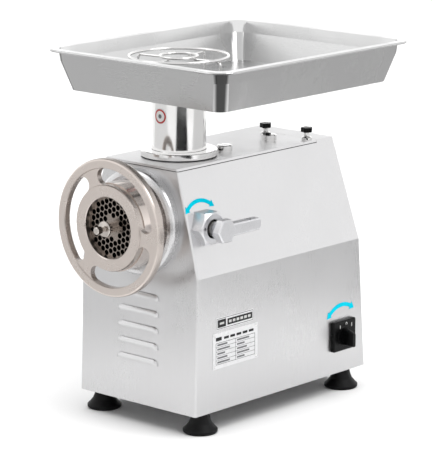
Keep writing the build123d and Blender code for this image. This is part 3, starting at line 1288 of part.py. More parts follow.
def arrow(radius, start, end, width):
    """A flat double-headed arc arrow about the origin of its own plane."""
    head = width * 1.5
    band = Circle(radius + width / 2) - Circle(radius - width / 2)
    inner = [math.radians(start + (end - start) * i / 6) for i in range(7)]
    reach = radius * 2
    sector = Polyline((0, 0), *[(reach * math.cos(t), reach * math.sin(t)) for t in inner], close=True)
    band = band & make_face(sector)
    for angle, way in ((start, -1), (end, 1)):
        t = math.radians(angle)
        out, along = (math.cos(t), math.sin(t)), (-way * math.sin(t), way * math.cos(t))
        corners = [(radius + width, 0), (radius, head), (radius - width, 0)]
        points = [(r * out[0] + a * along[0], r * out[1] + a * along[1]) for r, a in corners]
        band = band + make_face(Polyline(*points, close=True))
    return band


def lever_arrow():
    """Turning mark for the lever, on the slanted side."""
    origin = (upper_x(AXIS_Z), LEVER_Y, AXIS_Z)
    place = Plane(origin=origin, x_dir=(0, 1, 0), z_dir=(1, 0, SLOPE))
    return extrude(place * arrow(*LEVER_MARK), LABEL)


def switch_arrow():
    """Turning mark for the switch, on the upright side."""
    origin = (HOUSING_WIDTH / 2, SWITCH_Y, SWITCH_Z + SWITCH_MARK_RAISED)
    place = Plane(origin=origin, x_dir=(0, 1, 0), z_dir=(1, 0, 0))
    return extrude(place * arrow(*SWITCH_MARK), LABEL)


def cable_gland():
    """Hexagon gland with a round cable hole, on the rear panel."""
    place = on_rear(GLAND_X, GLAND_Z)
    body = extrude(place * RegularPolygon(GLAND_HEX / 2, 6, major_radius=False), 6)
    body = body + extrude(place * Circle(GLAND_THREAD + 1.5), GLAND_REACH)
    body = body + extrude(place * Circle(GLAND_THREAD), -(SHEET + GLAND_INSIDE))
    return body - extrude(place * Circle(GLAND_BORE), 60, both=True)


def gland_nut():
    place = on_rear(GLAND_X, GLAND_Z).offset(-SHEET)
    nut = extrude(place * RegularPolygon(GLAND_HEX / 2, 6, major_radius=False), -5)
    return nut - extrude(place * Circle(GLAND_THREAD), 20, both=True)


def terminal_block():
    """Mains terminals on the base, in front of the switch."""
    x0, y0, low = TERMINAL_X, TERMINAL_Y, BOTTOM_Z + BASE_SHEET
    x1, y1 = x0 + TERMINAL_WIDTH, y0 + TERMINALS * TERMINAL_PITCH + 1
    body = block((x0, x1), (y0, y1), (low, low + 10))
    for i in range(TERMINALS):
        y = y0 + 7 + TERMINAL_PITCH * i
        body = body + block((x0 + 2, x1 - 2), (y - 5, y + 5), (low + 9, low + 17))
        body = body - rod_z(2.2, (low + 10, low + 18), (x0 + x1) / 2, y)
    return body


PIECES = {
    "housing_shell": housing_shell(),
    "top_cover": top_cover(),
    "rear_panel": rear_panel(),
    "rear_panel_screws": group([pan_head(on_rear(x, z)) for x, z in REAR_SCREWS]),
    "base_plate": base_plate(),
    "rubber_feet": group([foot(x, y) for x, y in foot_places()]),
    "foot_screws": group([foot_screw(x, y) for x, y in foot_places()]),
    "foot_nuts": group([foot_nut(x, y) for x, y in foot_places()]),
    "throat_flange": throat_flange(),
    "cover_seals": group([throat_gasket(), lid_seal()]),
    "feed_column": feed_column(),
    "column_sign": column_sign(),
    "feed_tray": feed_tray(),
    "wire_guard": guard(),
    "head_barrel": head_barrel(),
    "head_pins": group([head_pin(), plate_key()]),
    "perforated_plate": perforated_plate(),
    "auger": auger(),
    "knife": knife(),
    "auger_stud": auger_stud(),
    "ring_nut": ring_nut(),
    "hand_wheel": hand_wheel(),
    "front_collar": front_collar(),
    "output_shaft": output_shaft(),
    "bull_gear": bull_gear(),
    "layshaft": layshaft(),
    "lay_pinion": lay_pinion(),
    "lay_gear": lay_gear(),
    "motor_shaft": motor_shaft(),
    "motor_pinion": motor_pinion(),
    "rotor_core": rotor_core(),
    "cooling_fan": cooling_fan(),
    "output_bearings": output_bearings(),
    "small_bearings": small_bearings(),
    "shaft_seal": shaft_seal(),
    "gearbox_case": gearbox_case(),
    "gearbox_cover": gearbox_cover(),
    "case_bolts": case_bolts(),
    "drive_stands": group([gearbox_stand(), motor_cradle()]),
    "motor_casing": motor_casing(),
    "motor_end_shields": group([motor_front_shield(), motor_rear_shield()]),
    "stator_core": stator_core(),
    "stator_winding": stator_winding(),
    "fan_cover": fan_cover(),
    "run_capacitor": run_capacitor(),
    "capacitor_clip": capacitor_clip(),
    "terminal_block": terminal_block(),
    "cable_gland": group([cable_gland(), gland_nut()]),
    "cover_fittings": group([oil_plug(x, y) for x, y in PLUG_PLACES]
                            + [knob_base(x, y) for x, y in KNOB_PLACES]),
    "lever_boss": lever_boss(),
    "clamp_screw": clamp_screw(),
    "lever_handle": lever_handle(),
    "switch_plate": switch_plate(),
    "switch_body": switch_body(),
    "switch_knob": group([switch_knob(), switch_spindle()]),
    "data_plates": group([data_plate(NAME_PLATE), data_plate(RATING_PLATE)]),
    "plate_rivets": plate_rivets(),
    "turning_arrows": group([lever_arrow(), switch_arrow()]),
}

for i, (x, y) in enumerate(KNOB_PLACES, 1):
    PIECES[f"cover_knob_{i}"] = cover_knob(x, y)

os.makedirs("parts", exist_ok=True)
for name, piece in PIECES.items():
    export_step(Pos(0, -CENTRE_Y, 0) * piece, f"parts/{name}.step")
print("pieces", len(PIECES), "origin moved back by", CENTRE_Y)
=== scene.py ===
import math

import bmesh
import bpy
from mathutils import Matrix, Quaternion, Vector


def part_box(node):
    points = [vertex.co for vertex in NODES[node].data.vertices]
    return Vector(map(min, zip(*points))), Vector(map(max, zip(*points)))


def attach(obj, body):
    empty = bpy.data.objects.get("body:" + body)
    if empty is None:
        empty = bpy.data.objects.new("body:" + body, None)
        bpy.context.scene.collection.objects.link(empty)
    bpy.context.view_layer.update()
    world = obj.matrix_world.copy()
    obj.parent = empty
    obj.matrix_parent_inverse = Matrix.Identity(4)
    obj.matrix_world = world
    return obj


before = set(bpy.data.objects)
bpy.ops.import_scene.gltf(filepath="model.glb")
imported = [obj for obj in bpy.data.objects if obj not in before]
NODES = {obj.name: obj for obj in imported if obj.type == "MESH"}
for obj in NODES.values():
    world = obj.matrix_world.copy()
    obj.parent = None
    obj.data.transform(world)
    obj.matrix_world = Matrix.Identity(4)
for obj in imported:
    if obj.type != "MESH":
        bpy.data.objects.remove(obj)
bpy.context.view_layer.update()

MM = 0.001
FULL_TURN = 2 * math.pi


# ---------------------------------------------------------------- camera

TARGET = Vector((-0.0399, 0.04825, 0.2461))
AZIMUTH, ELEVATION, DISTANCE = math.radians(41.9), math.radians(12.5), 3.8325
LENS, SENSOR_WIDTH = 211.05, 36.0

scene = bpy.context.scene
scene.view_settings.view_transform = "Standard"
scene.view_settings.look = "None"


def link(obj):
    scene.collection.objects.link(obj)
    return obj


def toward(azimuth, elevation):
    """Unit vector to a place at that azimuth (0 is in front, at -y) and elevation, in radians."""
    flat = math.cos(elevation)
    return Vector((math.sin(azimuth) * flat, -math.cos(azimuth) * flat, math.sin(elevation)))


def make_camera():
    data = bpy.data.cameras.new("camera")
    data.sensor_width = SENSOR_WIDTH
    data.lens = LENS
    data.clip_start, data.clip_end = 0.1, 60.0
    camera = link(bpy.data.objects.new("camera", data))
    back = toward(AZIMUTH, ELEVATION)
    camera.location = TARGET + back * DISTANCE
    camera.rotation_mode = "QUATERNION"
    camera.rotation_quaternion = (-back).to_track_quat("-Z", "Y")
    scene.camera = camera


# ---------------------------------------------------------------- materials

class Shader:
    """A Principled material and short calls that wire procedural nodes into it."""

    def __init__(self, name, colour, metallic=0.0, roughness=0.5, **constants):
        self.material = bpy.data.materials.new(name)
        self.material.use_nodes = True
        self.tree = self.material.node_tree
        self.bsdf = self.tree.nodes["Principled BSDF"]
        self.colour = colour
        self.roughness = roughness
        self.bsdf.inputs["Metallic"].default_value = metallic
        self.bsdf.inputs["Base Color"].default_value = (*colour, 1.0)
        self.bsdf.inputs["Roughness"].default_value = roughness
        for key, value in constants.items():
            self.bsdf.inputs[key.replace("_", " ")].default_value = value
        self.place = self.add("ShaderNodeTexCoord").outputs["Object"]

    def add(self, kind, **settings):
        node = self.tree.nodes.new(kind)
        for key, value in settings.items():
            setattr(node, key, value)
        return node

    def wire(self, node, **inputs):
        """Sets or links a node's inputs: by label with _ for a space, or n and a number for its place."""
        for key, value in inputs.items():
            name = int(key[1:]) if key[1:].isdigit() else key.replace("_", " ")
            if isinstance(value, bpy.types.NodeSocket):
                self.tree.links.new(value, node.inputs[name])
            else:
                node.inputs[name].default_value = value
        return node

    def math(self, operation, a, b=0.0, clamp=False):
        node = self.add("ShaderNodeMath", operation=operation, use_clamp=clamp)
        return self.wire(node, n0=a, n1=b).outputs[0]

    def stretched(self, scale, centre=(0.0, 0.0, 0.0)):
        node = self.add("ShaderNodeMapping", vector_type="POINT")
        moved = [-c * s for c, s in zip(centre, scale)]
        return self.wire(node, Vector=self.place, Scale=scale, Location=moved).outputs[0]

    def noise(self, scale, stretch=(1.0, 1.0, 1.0), detail=3.0, rough=0.55):
        node = self.add("ShaderNodeTexNoise")
        vector = self.stretched(stretch)
        return self.wire(node, Vector=vector, Scale=scale, Detail=detail, Roughness=rough).outputs[0]

    def rings(self, scale, axis, centre, distortion=0.6):
        node = self.add("ShaderNodeTexWave", wave_type="RINGS", rings_direction=axis)
        vector = self.stretched((1.0, 1.0, 1.0), centre)
        return self.wire(node, Vector=vector, Scale=scale, Distortion=distortion, Detail=2.0).outputs[0]

    def range(self, value, low, high, from_low=0.0, from_high=1.0):
        """Maps from_low..from_high to low..high, clamped."""
        node = self.add("ShaderNodeMapRange")
        return self.wire(node, Value=value, From_Min=from_low, From_Max=from_high, To_Min=low,
                         To_Max=high).outputs[0]

    def tint(self, share, colour):
        """Mixes the base colour towards another by a 0 to 1 share."""
        node = self.add("ShaderNodeMix", data_type="RGBA")
        socket = self.bsdf.inputs["Base Color"]
        below = socket.links[0].from_socket if socket.is_linked else (*self.colour, 1.0)
        self.wire(node, Factor=share, n6=below, n7=(*colour, 1.0))
        self.tree.links.new(node.outputs[2], socket)

    def rough(self, value):
        """Adds a value to the roughness."""
        socket = self.bsdf.inputs["Roughness"]
        below = socket.links[0].from_socket if socket.is_linked else self.roughness
        self.tree.links.new(self.math("ADD", below, value, clamp=True), socket)

    def bump(self, height, strength, distance):
        node = self.add("ShaderNodeBump")
        self.wire(node, Height=height, Strength=strength, Distance=distance)
        self.tree.links.new(node.outputs[0], self.bsdf.inputs["Normal"])

    def apart(self, vector, axis):
        return self.wire(self.add("ShaderNodeSeparateXYZ"), Vector=vector).outputs["XYZ".index(axis)]

    def facing(self, axis):
        """The surface's direction along an axis, -1 to 1."""
        return self.apart(self.add("ShaderNodeNewGeometry").outputs["Normal"], axis)

    def away(self, axis, centre):
        """Distance along an axis from a place, in metres."""
        return self.math("ABSOLUTE", self.math("SUBTRACT", self.apart(self.place, axis), centre))

    def edges(self, radius=0.0012, low=0.02, high=0.25):
        """Share of 0 to 1 that rises where the surface turns a corner."""
        bevel = self.wire(self.add("ShaderNodeBevel", samples=4), Radius=radius)
        here = self.add("ShaderNodeNewGeometry")
        dot = self.add("ShaderNodeVectorMath", operation="DOT_PRODUCT")
        self.wire(dot, n0=bevel.outputs[0], n1=here.outputs["Normal"])
        return self.range(dot.outputs["Value"], 1.0, 0.0, 1.0 - high, 1.0 - low)


def scaled(colour, factor):
    return tuple(min(1.0, c * factor) for c in colour)


def brushed(name, colour, roughness, along, smudge=0.03):
    """Metal with a fine grain along one axis and faint cloudy wipe marks."""
    s = Shader(name, colour, 1.0, roughness)
    stretch = tuple(0.02 if axis == along else 1.0 for axis in "xyz")
    fine = s.noise(2200.0, stretch, detail=4.0, rough=0.7)
    streak = s.noise(260.0, stretch, detail=3.0, rough=0.6)
    cloud = s.noise(9.0, detail=3.0, rough=0.55)
    s.tint(s.range(fine, 0.0, 0.8, 0.35, 0.68), scaled(colour, 0.97))
    s.tint(s.range(streak, 0.0, 0.4, 0.45, 0.75), scaled(colour, 1.02))
    s.rough(s.range(fine, -0.03, 0.03, 0.3, 0.7))
    s.rough(s.range(cloud, -smudge, smudge, 0.35, 0.65))
    s.bump(fine, 0.025, 0.00012)
    return s


def turned(name, colour, roughness, axis, centre, strength=0.1, smudge=0.03):
    """Metal with fine concentric machining lines about an axis."""
    s = Shader(name, colour, 1.0, roughness)
    lines = s.rings(420.0, axis, centre)
    cloud = s.noise(22.0, detail=4.0, rough=0.6)
    speck = s.noise(900.0, detail=2.0)
    s.tint(s.range(cloud, 0.0, 0.8, 0.4, 0.75), scaled(colour, 0.92))
    s.rough(s.range(cloud, -smudge, smudge, 0.35, 0.65))
    s.rough(s.range(speck, -0.015, 0.02, 0.3, 0.7))
    s.bump(lines, strength, 0.00008)
    return s


def cast(name, colour, roughness, grain=420.0, strength=0.25):
    """Cast metal with a sandy skin, darker hollows and edges rubbed bright."""
    s = Shader(name, colour, 1.0, roughness)
    sand = s.noise(grain, detail=5.0, rough=0.7)
    cloud = s.noise(30.0, detail=4.0, rough=0.6)
    s.tint(s.range(sand, 0.0, 0.7, 0.5, 0.75), scaled(colour, 0.82))
    s.tint(s.range(cloud, 0.0, 0.5, 0.45, 0.7), scaled(colour, 1.1))
    s.tint(s.edges(), scaled(colour, 1.25))
    s.rough(s.range(sand, -0.07, 0.09, 0.3, 0.7))
    s.bump(sand, strength, 0.0002)
    return s


def moulded(name, colour, roughness, grain=700.0, strength=0.15, **constants):
    """Moulded plastic or rubber, or paint, with a fine grain and edges worn paler."""
    s = Shader(name, colour, 0.0, roughness, **constants)
    skin = s.noise(grain, detail=4.0, rough=0.6)
    cloud = s.noise(35.0, detail=3.0)
    s.tint(s.range(skin, 0.0, 0.6, 0.4, 0.7), scaled(colour, 1.8))
    s.tint(s.edges(0.0008), scaled(colour, 2.6))
    s.rough(s.range(cloud, -0.06, 0.08, 0.35, 0.65))
    s.rough(s.range(skin, -0.04, 0.05, 0.3, 0.7))
    s.bump(skin, strength, 0.00015)
    return s


def printed(name, colour, roughness, **constants):
    """Screen print or enamel, thin and slightly uneven."""
    s = Shader(name, colour, 0.0, roughness, **constants)
    mottle = s.noise(500.0, detail=3.0)
    cloud = s.noise(60.0, detail=2.0)
    s.tint(s.range(mottle, 0.0, 0.35, 0.5, 0.75), scaled(colour, 0.8))
    s.rough(s.range(cloud, -0.08, 0.1, 0.35, 0.65))
    s.bump(mottle, 0.1, 0.00005)
    return s


def pan(name):
    """Tray sheet: bright inside and on the lip, with painted shade on the outside faces that turn downward
    and a painted dark reflection in the outside corners.
    """
    s = brushed(name, TRAY, 0.27, "x", smudge=0.06)
    # painted shade: faces that turn downward, on the tray's outside, are darkened
    s.tint(s.range(s.facing("Z"), 0.85, 0.0, -0.05, 0.12), scaled(TRAY, 0.74))
    low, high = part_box("feed_tray")
    near = []
    for axis, a, b in zip("XY", low, high):
        reach = (b - a) / 2
        near.append(s.range(s.away(axis, (a + b) / 2), 0.0, 1.0, reach - CORNER_FAR, reach - CORNER_NEAR))
    s.rough(s.range(s.math("MULTIPLY", *near), 0.0, -0.14))
    # painted reflection: a near-black stripe where the outside corners turn through their diagonal
    turn = [s.math("ABSOLUTE", s.facing(axis)) for axis in "XY"]
    diagonal = s.math("MULTIPLY", *turn)
    outside = s.range(s.facing("Z"), 1.0, 0.0, -0.05, 0.05)
    s.tint(s.math("MULTIPLY", s.range(diagonal, 0.0, 0.93, 0.14, 0.34), outside), PAINTED_CORNER_REFLECTION)
    return s


def knob(name, grip_z):
    """Black grip above a height, bright steel stem below it."""
    s = moulded(name, (0.002, 0.002, 0.0023), 0.28, 900.0, 0.08, Specular_IOR_Level=0.12)
    stem = s.range(s.apart(s.place, "Z"), 1.0, 0.0, grip_z - 0.4 * MM, grip_z)
    s.tint(stem, POLISH)
    s.tree.links.new(stem, s.bsdf.inputs["Metallic"])
    return s


def handled(name, colour):
    """Satin nickel casting, with painted shade on the walls of its steps and openings and painted dark
    lines along its edges.
    """
    s = turned(name, colour, 0.29, "Y", AXIS, 0.12, smudge=0.06)
    # painted shade: faces turned across the wheel's axis, the walls of steps and slots, are darkened
    s.tint(s.range(s.math("ABSOLUTE", s.facing("Y")), 0.55, 0.0, 0.35, 0.9), scaled(colour, 0.55))
    # painted shade: darker lines along every edge and crease
    s.tint(s.edges(0.0007), scaled(colour, 0.75))
    return s


def drilled(name, colour):
    """Ground plate with painted shade on the walls inside its holes."""
    s = turned(name, colour, 0.26, "Y", AXIS, 0.15)
    # painted shade: the hole walls, whose faces turn across the axis, are made nearly black
    wall = s.math("ABSOLUTE", s.facing("Y"))
    s.tint(s.range(wall, 0.97, 0.0, 0.55, 0.85), HOLE_PAINTED_SHADE)
    s.tint(s.edges(0.0006), scaled(colour, 1.4))
    return s


def middle(name):
    """Centre of a node's box."""
    return [(a + b) / 2 for a, b in zip(*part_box(name))]


AXIS = (0.0, 0.0, middle("hand_wheel")[2])
THROAT = (0.0, middle("feed_column")[1], 0.0)
STEEL = (0.56, 0.558, 0.563)
TRAY = (0.56, 0.56, 0.56)
POLISH = (0.73, 0.725, 0.72)
NICKEL = (0.57, 0.515, 0.48)
ALLOY = (0.62, 0.62, 0.635)
BARE = (0.52, 0.50, 0.48)
# painted reflection: colour of the dark stripe in the tray's outside corners
PAINTED_CORNER_REFLECTION = (0.02, 0.02, 0.02)
CORNER_FAR, CORNER_NEAR = 0.058, 0.036
# painted shade: colour of the walls inside the plate's holes
HOLE_PAINTED_SHADE = (0.012, 0.011, 0.010)
KNOB_GRIP = 6.6 * MM


def make_materials():
    m = {}
    m["sheet"] = brushed("stainless_sheet", STEEL, 0.30, "z")
    m["lid"] = brushed("lid_sheet", STEEL, 0.30, "y")
    m["tray"] = pan("tray_sheet")
    m["column"] = turned("column_polish", POLISH, 0.10, "Z", THROAT, 0.04)
    m["flange"] = turned("flange_polish", POLISH, 0.13, "Z", THROAT, 0.08)
    m["collar"] = turned("collar_satin", STEEL, 0.27, "Y", AXIS)
    m["barrel"] = turned("barrel_polish", NICKEL, 0.14, "Y", AXIS, 0.08)
    m["wheel"] = handled("wheel_nickel", NICKEL)
    m["plate"] = drilled("plate_steel", (0.27, 0.235, 0.21))
    m["knob"] = knob("cover_knob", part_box("cover_knob_1")[1].z - KNOB_GRIP)
    m["stud"] = turned("stud_steel", (0.50, 0.46, 0.43), 0.16, "Y", AXIS)
    # painted shade: auger and knife, seen only through the plate's holes, get a base 0.6 times as bright as
    # bare steel
    m["auger"] = cast("auger_casting", scaled(BARE, 0.6), 0.42, 300.0)
    m["knife"] = turned("knife_steel", scaled(BARE, 0.6), 0.3, "Y", AXIS, 0.15)
    m["wire"] = turned("guard_wire", POLISH, 0.14, "Z", THROAT, 0.05)
    m["alloy"] = cast("cast_aluminium", ALLOY, 0.33)
    m["chrome"] = turned("chrome", POLISH, 0.10, "Z", THROAT, 0.05)
    m["gear"] = cast("gear_steel", BARE, 0.35, 600.0)
    m["shaft"] = brushed("ground_shaft", BARE, 0.25, "y")
    m["case"] = cast("gearbox_casting", (0.46, 0.46, 0.47), 0.5, 260.0, 0.4)
    m["motor"] = moulded("motor_paint", (0.16, 0.20, 0.23), 0.45, 300.0, 0.3)
    m["core"] = brushed("lamination", (0.30, 0.29, 0.28), 0.45, "x")
    m["copper"] = brushed("copper_wire", (0.72, 0.33, 0.14), 0.35, "y", smudge=0.1)
    m["rubber"] = moulded("black_rubber", (0.003, 0.003, 0.0033), 0.5, Specular_IOR_Level=0.15)
    m["plastic"] = moulded("black_plastic", (0.0012, 0.0012, 0.0014), 0.28, 900.0, 0.08,
                           Specular_IOR_Level=0.12)
    m["white"] = moulded("white_plastic", (0.62, 0.61, 0.58), 0.4)
    m["plate_print"] = printed("plate_print", (0.80, 0.80, 0.81), 0.3)
    m["cyan"] = printed("cyan_print", (0.0, 0.66, 0.86), 0.5, Specular_IOR_Level=0.03)
    m["sign"] = printed("sign_enamel", (0.88, 0.86, 0.85), 0.25)
    m["red"] = printed("red_enamel", (0.52, 0.035, 0.03), 0.3)
    m["ink"] = printed("black_print", (0.012, 0.012, 0.013), 0.4, Specular_IOR_Level=0.2)
    m["grey_ink"] = printed("grey_print", (0.16, 0.16, 0.165), 0.4, Specular_IOR_Level=0.2)
    m["mark"] = printed("white_print", (0.62, 0.62, 0.61), 0.4)
    m["bolt"] = turned("zinc_screw", (0.58, 0.57, 0.55), 0.28, "Y", AXIS, 0.08)
    return m


FINISHES = {
    "sheet": ["housing_shell", "rear_panel", "base_plate", "capacitor_clip", "drive_stands"],
    "lid": ["top_cover"],
    "tray": ["feed_tray"],
    "column": ["feed_column"],
    "flange": ["throat_flange"],
    "collar": ["front_collar"],
    "barrel": ["head_barrel", "ring_nut"],
    "wheel": ["hand_wheel"],
    "plate": ["perforated_plate"],
    "stud": ["auger_stud", "head_pins"],
    "auger": ["auger"],
    "knife": ["knife"],
    "wire": ["wire_guard"],
    "alloy": ["lever_boss", "lever_handle"],
    "chrome": ["cover_fittings", "plate_rivets"],
    "gear": ["bull_gear", "lay_pinion", "lay_gear", "motor_pinion"],
    "shaft": ["output_shaft", "layshaft", "motor_shaft", "output_bearings", "small_bearings"],
    "case": ["gearbox_case", "gearbox_cover", "motor_end_shields"],
    "motor": ["motor_casing", "fan_cover"],
    "core": ["rotor_core", "stator_core"],
    "copper": ["stator_winding"],
    "rubber": ["rubber_feet", "cover_seals", "shaft_seal"],
    "plastic": ["switch_plate", "switch_body", "switch_knob", "cable_gland", "cooling_fan"],
    "knob": ["cover_knob_1", "cover_knob_2"],
    "white": ["run_capacitor", "terminal_block"],
    "plate_print": ["data_plates"],
    "cyan": ["turning_arrows"],
    "sign": ["column_sign"],
    "bolt": ["rear_panel_screws", "foot_screws", "foot_nuts", "case_bolts", "clamp_screw"],
}


def dress(materials):
    """Gives each CAD node its finish, and stops if a node has none."""
    for finish, names in FINISHES.items():
        for name in names:
            slots = NODES[name].data.materials
            slots.clear()
            slots.append(materials[finish].material)
    bare = set(NODES) - {n for names in FINISHES.values() for n in names}
    if bare:
        raise ValueError(f"nodes with no finish: {sorted(bare)}")


# ---------------------------------------------------------------- printed marks and small pieces

PRINT = 0.12 * MM
CORNER = 0.3 * MM


def from_mesh(name, work, material, body, smooth=False):
    """Turns a bmesh into a piece with that material, riding on a body."""
    bmesh.ops.recalc_face_normals(work, faces=work.faces)
    mesh = bpy.data.meshes.new(name)
    work.to_mesh(mesh)
    work.free()
    if smooth:
        mesh.shade_smooth()
    mesh.materials.append(material.material)
    obj = link(bpy.data.objects.new(name, mesh))
    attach(obj, body)


def prism(work, low_ring, high_ring):
    """Adds a closed solid between two rings of places."""
    base = [work.verts.new(p) for p in low_ring]
    top = [work.verts.new(p) for p in high_ring]
    work.faces.new(base)
    work.faces.new(reversed(top))
    for i in range(len(base)):
        j = (i + 1) % len(base)
        work.faces.new((base[i], base[j], top[j], top[i]))


def raised(work, outline, rise):
    """Adds a closed print on an outline, sunk by half its rise."""
    prism(work, [p - rise * 0.5 for p in outline], [p + rise for p in outline])


def slab(work, face_x, y, z):
    """Adds a flat print with cut corners standing on a face that looks along +x."""
    (y0, y1), (z0, z1) = y, z
    c = min(CORNER, (y1 - y0) / 3, (z1 - z0) / 3)
    outline = [(y0 + c, z0), (y1 - c, z0), (y1, z0 + c), (y1, z1 - c), (y1 - c, z1), (y0 + c, z1),
               (y0, z1 - c), (y0, z0 + c)]
    raised(work, [Vector((face_x, a, b)) for a, b in outline], Vector((PRINT, 0, 0)))


def border(work, face_x, y, z, width):
    """Adds four bars along the sides of a rectangle."""
    slab(work, face_x, y, (z[0], z[0] + width))
    slab(work, face_x, y, (z[1] - width, z[1]))
    slab(work, face_x, (y[0], y[0] + width), (z[0] + width, z[1] - width))
    slab(work, face_x, (y[1] - width, y[1]), (z[0] + width, z[1] - width))


def inset(span, start, end):
    """A span cut at both ends, by millimetres."""
    return span[0] + start * MM, span[1] - end * MM


def beyond(place, start, length):
    """A span of a length that starts that far from a place, in millimetres."""
    return place + start * MM, place + (start + length) * MM


NAME_BORDER, TABLE_BORDER = 0.7 * MM, 0.5 * MM
RULE = 0.2 * MM
BAR = 1.2 * MM
TABLE_ROWS, TABLE_COLUMNS = 5, 2
NAME_BLOCKS, HEADING_BARS = 6, 5


def name_plate(ink, light, face, y, z):
    """A border, a dark block with a light panel, and a dark bar with light blocks."""
    border(ink, face, inset(y, 1, 1), inset(z, 1, 1), NAME_BORDER)
    slab(ink, face, beyond(y[0], 3, 17), inset(z, 3, 3))
    slab(ink, face, inset(y, 23, 3), inset(z, 4, 4))
    slab(light, face + PRINT, beyond(y[0], 7, 9), inset(z, 7, 7))
    for i in range(NAME_BLOCKS):
        slab(light, face + PRINT, beyond(y[0], 26 + 8 * i, 5.5), inset(z, 6.6, 6.6))


def rating_plate(ink, grey, face, y, z):
    """A row of heading bars over a ruled table with a grey bar in each field."""
    y0, y1 = y
    top = z[1]
    slab(ink, face, beyond(y0, 0, 12), (top - 5 * MM, top))
    for i in range(HEADING_BARS):
        slab(ink, face, beyond(y0, 17 + 13 * i, 10), (top - 4.5 * MM, top - 1 * MM))
    table = inset(z, 0, 8)
    border(ink, face, y, table, TABLE_BORDER)
    step = (table[1] - table[0]) / TABLE_ROWS
    for i in range(1, TABLE_ROWS):
        level = table[0] + step * i
        slab(ink, face, y, (level - RULE, level + RULE))
    half = (y1 - y0) / TABLE_COLUMNS
    slab(ink, face, (y0 + half - RULE, y0 + half + RULE), table)
    for i in range(TABLE_ROWS):
        level = table[0] + step * (i + 0.5)
        for k in range(TABLE_COLUMNS):
            length = 26 - 5 * ((i + 2 * k) % 3)
            slab(grey, face, beyond(y0 + half * k, 3, length), (level - BAR, level + BAR))


def plate_marks(materials):
    """Plain borders, panels and bars on the two plates: no words."""
    low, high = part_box("data_plates")
    ink, grey, light = bmesh.new(), bmesh.new(), bmesh.new()
    name_plate(ink, light, high.x, beyond(low.y, 7, 78), (high.z - 17 * MM, high.z))
    rating_plate(ink, grey, high.x, inset((low.y, high.y), 6, 6), beyond(low.z, 6, 39))
    from_mesh("plate_borders", ink, materials["ink"], "root")
    from_mesh("plate_bars", grey, materials["grey_ink"], "root")
    from_mesh("plate_light_blocks", light, materials["mark"], "root")


def ring_wedges(inner, outer, steps):
    """Outlines, in flat coordinates, of the wedges of a ring."""
    for i in range(steps):
        a, b = (FULL_TURN * k / steps for k in (i, i + 1))
        corners = ((inner, a), (outer, a), (outer, b), (inner, b))
        yield [(r * math.cos(t), r * math.sin(t)) for r, t in corners]


def switch_marks(materials):
    """Two position lines and a small ring on the switch plate."""
    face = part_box("switch_plate")[1].x
    _, y, z = middle("switch_plate")
    work = bmesh.new()
    for offset in (-11 * MM, 15 * MM):
        line = y + offset
        slab(work, face, (line - 0.8 * MM, line + 0.8 * MM), (z + 11 * MM, z + 16.5 * MM))
    for wedge in ring_wedges(1.2 * MM, 2.2 * MM, 20):
        raised(work, [Vector((face, y + 3 * MM + across, z + 17 * MM + up)) for across, up in wedge],
               Vector((PRINT, 0, 0)))
    from_mesh("switch_marks", work, materials["mark"], "root")


def sign_marks(materials):
    """Plain red ring and grey dot on the round sign, bent to the column."""
    low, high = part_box("column_sign")
    axis_y = THROAT[1]
    centre_z, radius = (low.z + high.z) / 2, (high.z - low.z) / 2
    out = axis_y - low.y

    def on_column(flat, lift):
        across, up = flat
        turn, reach = across / out, out + lift
        return Vector((reach * math.sin(turn), axis_y - reach * math.cos(turn), centre_z + up))

    for name, finish, inner, outer in (("sign_ring", "red", radius * 0.74, radius * 0.97),
                                       ("sign_dot", "grey_ink", 0.02 * MM, radius * 0.28)):
        work = bmesh.new()
        for wedge in ring_wedges(inner, outer, 40):
            prism(work, [on_column(p, -0.05 * MM) for p in wedge], [on_column(p, 0.15 * MM) for p in wedge])
        from_mesh(name, work, materials[finish], "column")


def boss_seal(materials):
    """Black ring deep in the boss's bore, round the lever's screw."""
    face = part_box("lever_boss")[1].x
    low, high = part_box("clamp_screw")
    _, y, z = middle("clamp_screw")
    neck = (high.z - low.z) / 2
    profile = [(face - depth * MM, neck + out * MM)
               for depth, out in ((9, 0.4), (5.5, 0.4), (4, 1.6), (5.5, 4.2), (9, 4.2))]
    work = bmesh.new()
    steps = 48
    loops = []
    for i in range(steps):
        t = FULL_TURN * i / steps
        loops.append([work.verts.new((x, y + r * math.cos(t), z + r * math.sin(t))) for x, r in profile])
    for i in range(steps):
        a, b = loops[i], loops[(i + 1) % steps]
        for k in range(len(profile)):
            j = (k + 1) % len(profile)
            work.faces.new((a[k], a[j], b[j], b[k]))
    from_mesh("boss_seal_ring", work, materials["rubber"], "root", smooth=True)


# ---------------------------------------------------------------- floor, cards and light

FLOOR_SIZE = (40.0, 40.0)
CARD_HEIGHT = 0.002
SEEN_WHITE, DOME, GLOSS_LOW, GLOSS_HIGH = 1.05, 0.22, 1.5, 0.95
GLOSS_FROM, GLOSS_TO = 0.15, 0.6
LIGHT_AIM = Vector((0, 0, 0.25))


def panel(name, centre, size, turn=0.0):
    """Level square of the stage, with a material of its own."""
    mesh = bpy.data.meshes.new(name)
    work = bmesh.new()
    bmesh.ops.create_grid(work, x_segments=1, y_segments=1, size=0.5)
    work.to_mesh(mesh)
    work.free()
    obj = link(bpy.data.objects.new(name, mesh))
    obj.location = centre
    obj.rotation_mode = "QUATERNION"
    obj.rotation_quaternion = Quaternion((0, 0, 1), turn)
    obj.scale = (*size, 1.0)
    material = bpy.data.materials.new(name)
    material.use_nodes = True
    mesh.materials.append(material)
    return obj, material.node_tree


def make_floor():
    _, tree = panel("floor", (0.0, 0.0, 0.0), FLOOR_SIZE)
    shade = tree.nodes["Principled BSDF"]
    shade.inputs["Base Color"].default_value = (0.90, 0.90, 0.90, 1.0)
    shade.inputs["Roughness"].default_value = 0.9
    shade.inputs["Specular IOR Level"].default_value = 0.1


